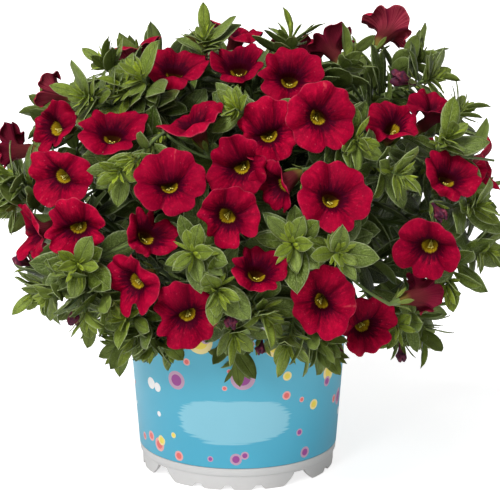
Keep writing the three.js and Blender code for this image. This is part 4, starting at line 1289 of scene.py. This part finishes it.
def blade_template(droop, fold, breadth, steps):
    """A blade of length 1, folded along the midrib and drooping, with a narrow foot and a blunt tip."""
    bm = leaf_mesh()
    bmesh.ops.create_grid(bm, x_segments=4, y_segments=steps, size=1)
    flat = bm.loops.layers.uv["blade"]
    under = bm.verts.layers.float["under"]
    for face in bm.faces:
        for loop in face.loops:
            loop[flat].uv = (loop.vert.co.x / 2 + 0.5, loop.vert.co.y / 2 + 0.5)
    for vertex in bm.verts:
        place = (vertex.co.y + 1) / 2
        swell = max(sin(pi * place ** 1.15), 0.0) ** 0.68
        width = breadth / 2 * swell * min(1.0, 0.35 + 2.6 * place) + 0.014 * (1 - place)
        across = vertex.co.x * width
        lift = fold * abs(across) - CURL * across * across / (breadth / 2)
        wave = 0.012 * sin(9 * place + 2 * vertex.co.x) * abs(vertex.co.x)
        vertex.co = (across, place, lift + wave - droop * place * place)
    top = set(bm.verts)
    bmesh.ops.solidify(bm, geom=bm.faces, thickness=BLADE_THICKNESS)
    for vertex in bm.verts:
        vertex[under] = 0.0 if vertex in top else 1.0
    bmesh.ops.recalc_face_normals(bm, faces=bm.faces)
    return mesh_of(bm, "blade")


def blade_templates():
    """Blades by breadth, then by droop, then by fold."""
    templates = {}
    for breadth, steps in BLADE_STEPS.items():
        templates[breadth] = [
            [blade_template(droop, fold, breadth, steps) for fold in FOLDS] for droop in DROOPS
        ]
    return templates


def add_leaf(bm, kit, leaf, seed, width=1.0):
    """One leaf from the blade whose droop is nearest, at its place on the stem."""
    rows = kit.templates[NARROW if leaf.fresh > NARROW_FROM else BROAD]
    row = min(range(len(DROOPS)), key=lambda index: abs(DROOPS[index] - leaf.droop))
    start = len(bm.verts)
    bm.from_mesh(rows[row][seed % len(FOLDS)])
    bm.verts.ensure_lookup_table()
    made = bm.verts[start:]
    side = leaf.heading.cross(leaf.face)
    length = leaf.length
    matrix = frame_matrix(leaf.base, side * length * width, leaf.heading * length, leaf.face * length)
    bmesh.ops.transform(bm, matrix=matrix, verts=made)
    fresh = bm.verts.layers.float["fresh"]
    tone = bm.verts.layers.float["tone"]
    own_tone = draw(seed, 77, 0, 1)
    for vertex in made:
        vertex[fresh] = leaf.fresh
        vertex[tone] = own_tone


def crosses(obstacles, leaf):
    """Whether the line of a leaf or its two edges run through a flower."""
    side = leaf.heading.cross(leaf.face) * leaf.length * 0.15
    root = leaf.base + leaf.heading * 2
    for shift in (Vector(), side, -side):
        middle = leaf_point(leaf, 0.5) + shift
        for start, end in ((root, middle), (middle, leaf_point(leaf, 1))):
            line = end - start
            if obstacles.ray_cast(start, line.normalized(), line.length)[0] is not None:
                return True
    return False


def veils(blooms, leaf, share):
    """Whether a leaf stands before this share of an open flower, as seen from the front."""
    for place in (0.4, 0.7, 1.0):
        reach = leaf_point(leaf, place) - EYE
        line = reach.normalized()
        for bloom in blooms:
            beyond = bloom.place - EYE
            depth = beyond.dot(line)
            if depth > reach.length and (beyond - line * depth).length < share * bloom.diameter:
                return True
    return False


def added_leaf(stem, index, attempt, kind):
    """A leaf that only the scene has: long and spreading low on the stem, short and upright at its tip."""
    part = kind.seed + index
    share = index / (kind.count - 1)
    lowest, highest = kind.places
    place = highest - (highest - lowest) * (1 - share) ** kind.crowding
    point, axis = along_stem(stem, place)
    turn = index * GOLDEN_ANGLE + 60 * draw(stem.seed, part, 0, 1) + attempt * 67
    wide, close = kind.spreads
    spread = close + (wide - close) * (1 - share ** 1.6) + 16 * (draw(stem.seed, part, attempt, 2) - 0.5)
    heading, face = leaning(axis, radians(turn), radians(spread))
    long, short = kind.lengths
    length = short + (long - short) * (1 - share ** 1.8)
    length *= between(0.85, 1.15, stem.seed, part, 0, 3)
    old, young = kind.fresh
    return make_leaf(point, heading, face, length, between(0.0, 0.3, stem.seed, part, 0, 4),
                     old + (young - old) * share ** 2)


def axil_leaf(leaf, seed, number):
    """A tiny leaf in the angle between a leaf and its stem."""
    lean = leaf.face * between(0.5, 1.5, seed, 9, number, 1)
    aside = leaf.heading.cross(leaf.face) * between(-0.7, 0.7, seed, 9, number, 2)
    heading = (leaf.heading + lean + aside).normalized()
    face = (leaf.face - heading * leaf.face.dot(heading)).normalized()
    return make_leaf(leaf.base, heading, face, between(6, 11, seed, 9, number, 3), 0.12, 0.8)


def add_leaves(bm, kit, stem, kind, blooms):
    """Adds a kind of leaves to a stem, each where it neither crosses a flower nor hides one."""
    for index in range(kind.count):
        seed = stem.seed * 37 + index + 500
        for attempt in range(ADDED_TRIES):
            leaf = added_leaf(stem, index, attempt, kind)
            if not crosses(kit.obstacles, leaf) and not veils(blooms, leaf, CLEAR_SHARE):
                add_leaf(bm, kit, leaf, seed, kind.width * between(0.72, 1.04, seed, 1, 0, 2))
                for number in range(kind.axil if index % 3 == 1 else 0):
                    add_leaf(bm, kit, axil_leaf(leaf, seed, number), seed + number, 0.6)
                break


def add_stem_leaves(bm, kit, stem):
    clear = [bloom for bloom in kit.front if bloom.name in CLEAR_BLOOMS]
    for number, width in enumerate(LEAF_WIDTHS):
        tries = [stem_leaf(stem, number, attempt) for attempt in range(LEAF_TRIES)]
        leaf = kept_leaf(stem.branch.surface, tries)
        if leaf and not veils(clear, leaf, WHOLE_SHARE):
            add_leaf(bm, kit, leaf, stem.seed * 31 + number, width)
    add_leaves(bm, kit, stem, OUTER_LEAVES, kit.front)
    add_leaves(bm, kit, stem, HEART_LEAVES, kit.front)


def add_sepals(bm, kit, stalk):
    """Five narrow sepals round the foot of the tube."""
    axis, seed = stalk.axis, stalk.seed
    for index in range(SEPALS):
        turn = TURN * index / SEPALS + TURN * draw(seed, 5, 0, 1)
        heading, face = leaning(axis, turn, radians(between(14, 34, seed, 5, index, 2)))
        base = stalk.head - axis * 2 + around(axis, turn) * (CALYX_RADIUS - 1)
        leaf = make_leaf(base, heading, face, between(8, 11, seed, 5, index, 3), 0.12, 0.55)
        add_leaf(bm, kit, leaf, seed * 11 + index, 0.8)


# Stems, stalks and spent flowers

def stem_line(stem, steps=10, radius=STEM_RADIUS, taper=STEM_TAPER):
    line = []
    for index in range(steps + 1):
        place = index / steps
        line.append((bezier(stem.start, stem.middle, stem.tip, place), radius * (1.0 - taper * place)))
    return line


def branch_line(branch):
    end = branch.fork + branch.outward * 2
    return [(branch.root.lerp(end, index / 4), TRUNK_RADIUS) for index in range(5)]


def stalk_line(anchor, middle, foot, head):
    """A thin stalk that swells at the flower's end."""
    line = [(bezier(anchor, middle, foot, index / 7), PEDICEL_RADIUS) for index in range(7)]
    line += [(foot, PEDICEL_RADIUS + 0.2), (foot.lerp(head, 0.35), 1.4), (foot.lerp(head, 0.75), 2.1)]
    return line + [(head, CALYX_RADIUS - 0.5)]


def make_shoots(stems):
    """Small side shoots that only the scene has, each from the nearest stem to its own place."""
    tips = [sight_point(across, up, SHOOT_REACH) - Vector((0, lean, 0)) for across, up, lean in FRONT_SHOOTS]
    for azimuth in REAR_SHOOTS:
        tips.append(mound_point(direction(azimuth, REAR_SHOOT_ELEVATION), REAR_SHOOT_REACH))
    for index, tip in enumerate(tips):
        _, stem, start = anchors_for(stems, tip)[0]
        middle = start.lerp(tip, 0.5) - (MOUND - start).normalized() * 4
        stem.branch.shoots.append(make_stem(SHOOT_SEED + index, start, middle, tip))


def make_stalks(stems, blooms):
    """Gives each open flower its stalk."""
    for bloom in blooms:
        head = bloom.place + bloom.axis * (TUBE_DEPTH - CALYX_GAP)
        knots, branch = grow_stalk(stems, head - bloom.axis * CALYX_LENGTH, head)
        branch.stalks.append(Thing(line=stalk_line(*knots), head=head, axis=bloom.axis, seed=bloom.seed))


def make_buds(stems):
    """Gives each spent flower its stalk, and files the flower with its branch."""
    for index, (name, across, up, reach, turn, tilt, length) in enumerate(BUDS):
        middle = sight_point(across, up, reach)
        axis = direction(turn, tilt)
        head = middle - axis * length * 0.3
        knots, branch = grow_stalk(stems, middle - axis * length * 0.55, head)
        bud = Thing(name=name, middle=middle, axis=axis, length=length, seed=BUD_SEED + index, head=head)
        bud.line = stalk_line(*knots)[:-2]
        branch.stalks.append(bud)
        branch.buds.append(bud)


def spent_flower(bud):
    """A withered trumpet: a narrow tube that swells into a twisted, pinched head."""
    half = bud.length / 2
    wide = bud.length * 0.24
    bm = spin_profile((
        (0, -half), (wide * 0.35, -half * 0.96), (wide * 0.42, -half * 0.5), (wide * 0.6, -half * 0.1),
        (wide * 0.95, half * 0.3), (wide * 1.05, half * 0.6), (wide * 0.8, half * 0.85),
        (wide * 0.3, half * 0.8), (0, half * 0.6),
    ), 30)
    for point in [vertex.co for vertex in bm.verts]:
        angle = atan2(point.y, point.x)
        share = (point.z + half) / bud.length
        folds = 0.3 * share * cos(5 * angle + 3 * share + bud.seed) + 0.12 * share * cos(12 * angle)
        crumple = 0.18 * share * noise.noise(point * 0.6 + Vector((bud.seed, 0, 0)))
        point.x *= 1 + folds + crumple
        point.y *= 1 + folds - crumple
        point.z += 0.12 * bud.length * share * cos(3 * angle + bud.seed) * (share > 0.7)
    first, second = sides_of(bud.axis)
    bmesh.ops.transform(bm, matrix=frame_matrix(bud.middle, first, second, bud.axis), verts=bm.verts)
    return bm


def make_branch(branch, kit):
    """A trunk with its stems, stalks and shoots, their leaves, and its spent flowers."""
    node = "leafy_stem_" + branch.number
    lines = [branch_line(branch)] + [stem_line(stem) for stem in branch.stems]
    lines += [stem_line(shoot, 6, SHOOT_RADIUS, 0) for shoot in branch.shoots]
    lines += [stalk.line for stalk in branch.stalks]
    seat(tubes("twigs_" + branch.number, lines, kit.twig), node)
    bm = leaf_mesh()
    for stem in branch.stems:
        add_stem_leaves(bm, kit, stem)
    for shoot in branch.shoots:
        add_leaves(bm, kit, shoot, SHOOT_LEAVES, kit.front)
        add_leaves(bm, kit, shoot, SHOOT_HEART_LEAVES, kit.front)
    for stalk in branch.stalks:
        add_sepals(bm, kit, stalk)
    seat(finish_piece(bm, "leaves_" + branch.number, kit.leaf), node)
    for bud in branch.buds:
        seat(finish_piece(spent_flower(bud), bud.name, kit.spent), node)


# Crown: woody stems, inner twigs and inner leaves

def inner_stems(branches):
    """Arching stems from the woody feet to the forks and to places under the outer leaves."""
    stems = []
    targets = [(branch.root, ROOT_STEM_SEED + index) for index, branch in enumerate(branches)]
    for index in range(INNER_STEMS):
        outward = spiral_direction(index, INNER_STEMS)
        targets.append((mound_point(outward, between(0.62, 0.8, index, 700, 0, 1)), INNER_STEM_SEED + index))
    for target, seed in targets:
        x, y = min(WOODY_STEMS, key=lambda foot: (Vector((foot[0], foot[1], 0)) - target).length)
        start = Vector((x, y, 104 + 22 * draw(seed, 1, 0, 1)))
        stems.append(make_stem(seed, start, start.lerp(target, 0.5) + Vector((0, 0, 14)), target))
    return stems


def make_crown(branches, kit):
    heights = [WOODY_BOTTOM + (MOUND.z - 30 - WOODY_BOTTOM) * step / 8 for step in range(9)]
    lines = [[(Vector((x, y, height)), WOODY_RADIUS) for height in heights] for x, y in WOODY_STEMS]
    seat(tubes("woody_stems", lines, kit.bark, 3), "crown")
    stems = inner_stems(branches)
    seat(tubes("inner_twigs", [stem_line(stem) for stem in stems], kit.twig), "crown")
    bm = leaf_mesh()
    surface = surface_of("crown")
    for index in range(CROWN_LEAVES):
        leaf = kept_leaf(surface, [crown_leaf(index, attempt) for attempt in range(LEAF_TRIES)])
        if leaf:
            add_leaf(bm, kit, leaf, CROWN_LEAF_SEED + index)
    for stem in stems:
        add_leaves(bm, kit, stem, INNER_LEAVES, ())
    seat(finish_piece(bm, "inner_leaves", kit.leaf), "crown")


# Stage

def aim(thing, heading):
    thing.rotation_euler = heading.to_track_quat("-Z", "Y").to_euler()


def make_camera():
    data = bpy.data.cameras.new("camera")
    data.lens = LENS_MM
    data.sensor_width = SENSOR_MM
    camera = add_object("camera", data)
    camera.location = EYE * MM
    aim(camera, FORWARD)
    bpy.context.scene.camera = camera


def make_lights():
    sun = bpy.data.lights.new("key_light", "SUN")
    sun.energy = 2.9
    sun.angle = radians(20)
    aim(add_object("key_light", sun), Vector((0.45, 0.75, -1.2)))
    disk = bpy.data.lights.new("front_light", "AREA")
    disk.shape = "DISK"
    disk.size = 0.5
    disk.energy = 8
    lamp = add_object("front_light", disk)
    lamp.location = (-0.7, -1.5, 0.9)
    aim(lamp, Vector((0, 0, 0.15)) - lamp.location)


def make_stage():
    """A pale floor and an even white surrounding, both brighter to the camera than the light they throw."""
    material, graph = new_material("pale_floor", 0.9, 0.1)
    graph.paint(Base_Color=(0.8, 0.8, 0.8, 1), Emission_Color=(1, 1, 1, 1))
    graph.paint(Emission_Strength=graph.seen_or_not(0.1, 0.7))
    bm = bmesh.new()
    bmesh.ops.create_grid(bm, x_segments=1, y_segments=1, size=6000)
    finish_piece(bm, "pale_floor", material)
    world = bpy.data.worlds.new("studio")
    world.use_nodes = True
    graph = Graph(world.node_tree)
    background = world.node_tree.nodes["Background"]
    graph.feed(background, Color=(1, 1, 1, 1), Strength=graph.seen_or_not(0.4, 1.0))
    bpy.context.scene.world = world
    bpy.context.scene.view_settings.view_transform = "Standard"


def make_plant():
    mottle = mottle_group()
    front = front_blooms()
    blooms = front + rear_blooms(front)
    branches = make_branches()
    tips = [sight_point(*tip) for tip in FRONT_TIPS]
    taken = tips + [bloom.place.lerp(MOUND, 0.25) for bloom in blooms]
    tips += rear_places(REAR_TIPS, REAR_TIP_SPACING, REAR_TIP_REACH, taken)
    for seed, tip in enumerate(tips):
        grow_stem(nearest_branch(branches, tip), seed, tip)
    stems = sorted((stem for branch in branches for stem in branch.stems), key=lambda stem: stem.seed)
    make_stalks(stems, blooms)
    make_buds(stems)
    make_shoots(stems)
    kit = Thing(
        templates=blade_templates(), front=front,
        obstacles=surface_of(*(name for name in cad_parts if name.startswith("bloom"))),
        leaf=leaf_material(mottle), twig=twig_material(mottle), bark=bark_material(mottle),
        spent=spent_material(),
    )
    for branch in branches:
        make_branch(branch, kit)
    make_crown(branches, kit)
    make_corollas(blooms, petal_material(), anther_material())
    make_pot(pot_material(mottle))
    make_sleeve(sleeve_material(mottle))
    make_soil(soil_material())


make_camera()
make_stage()
make_lights()
make_plant()
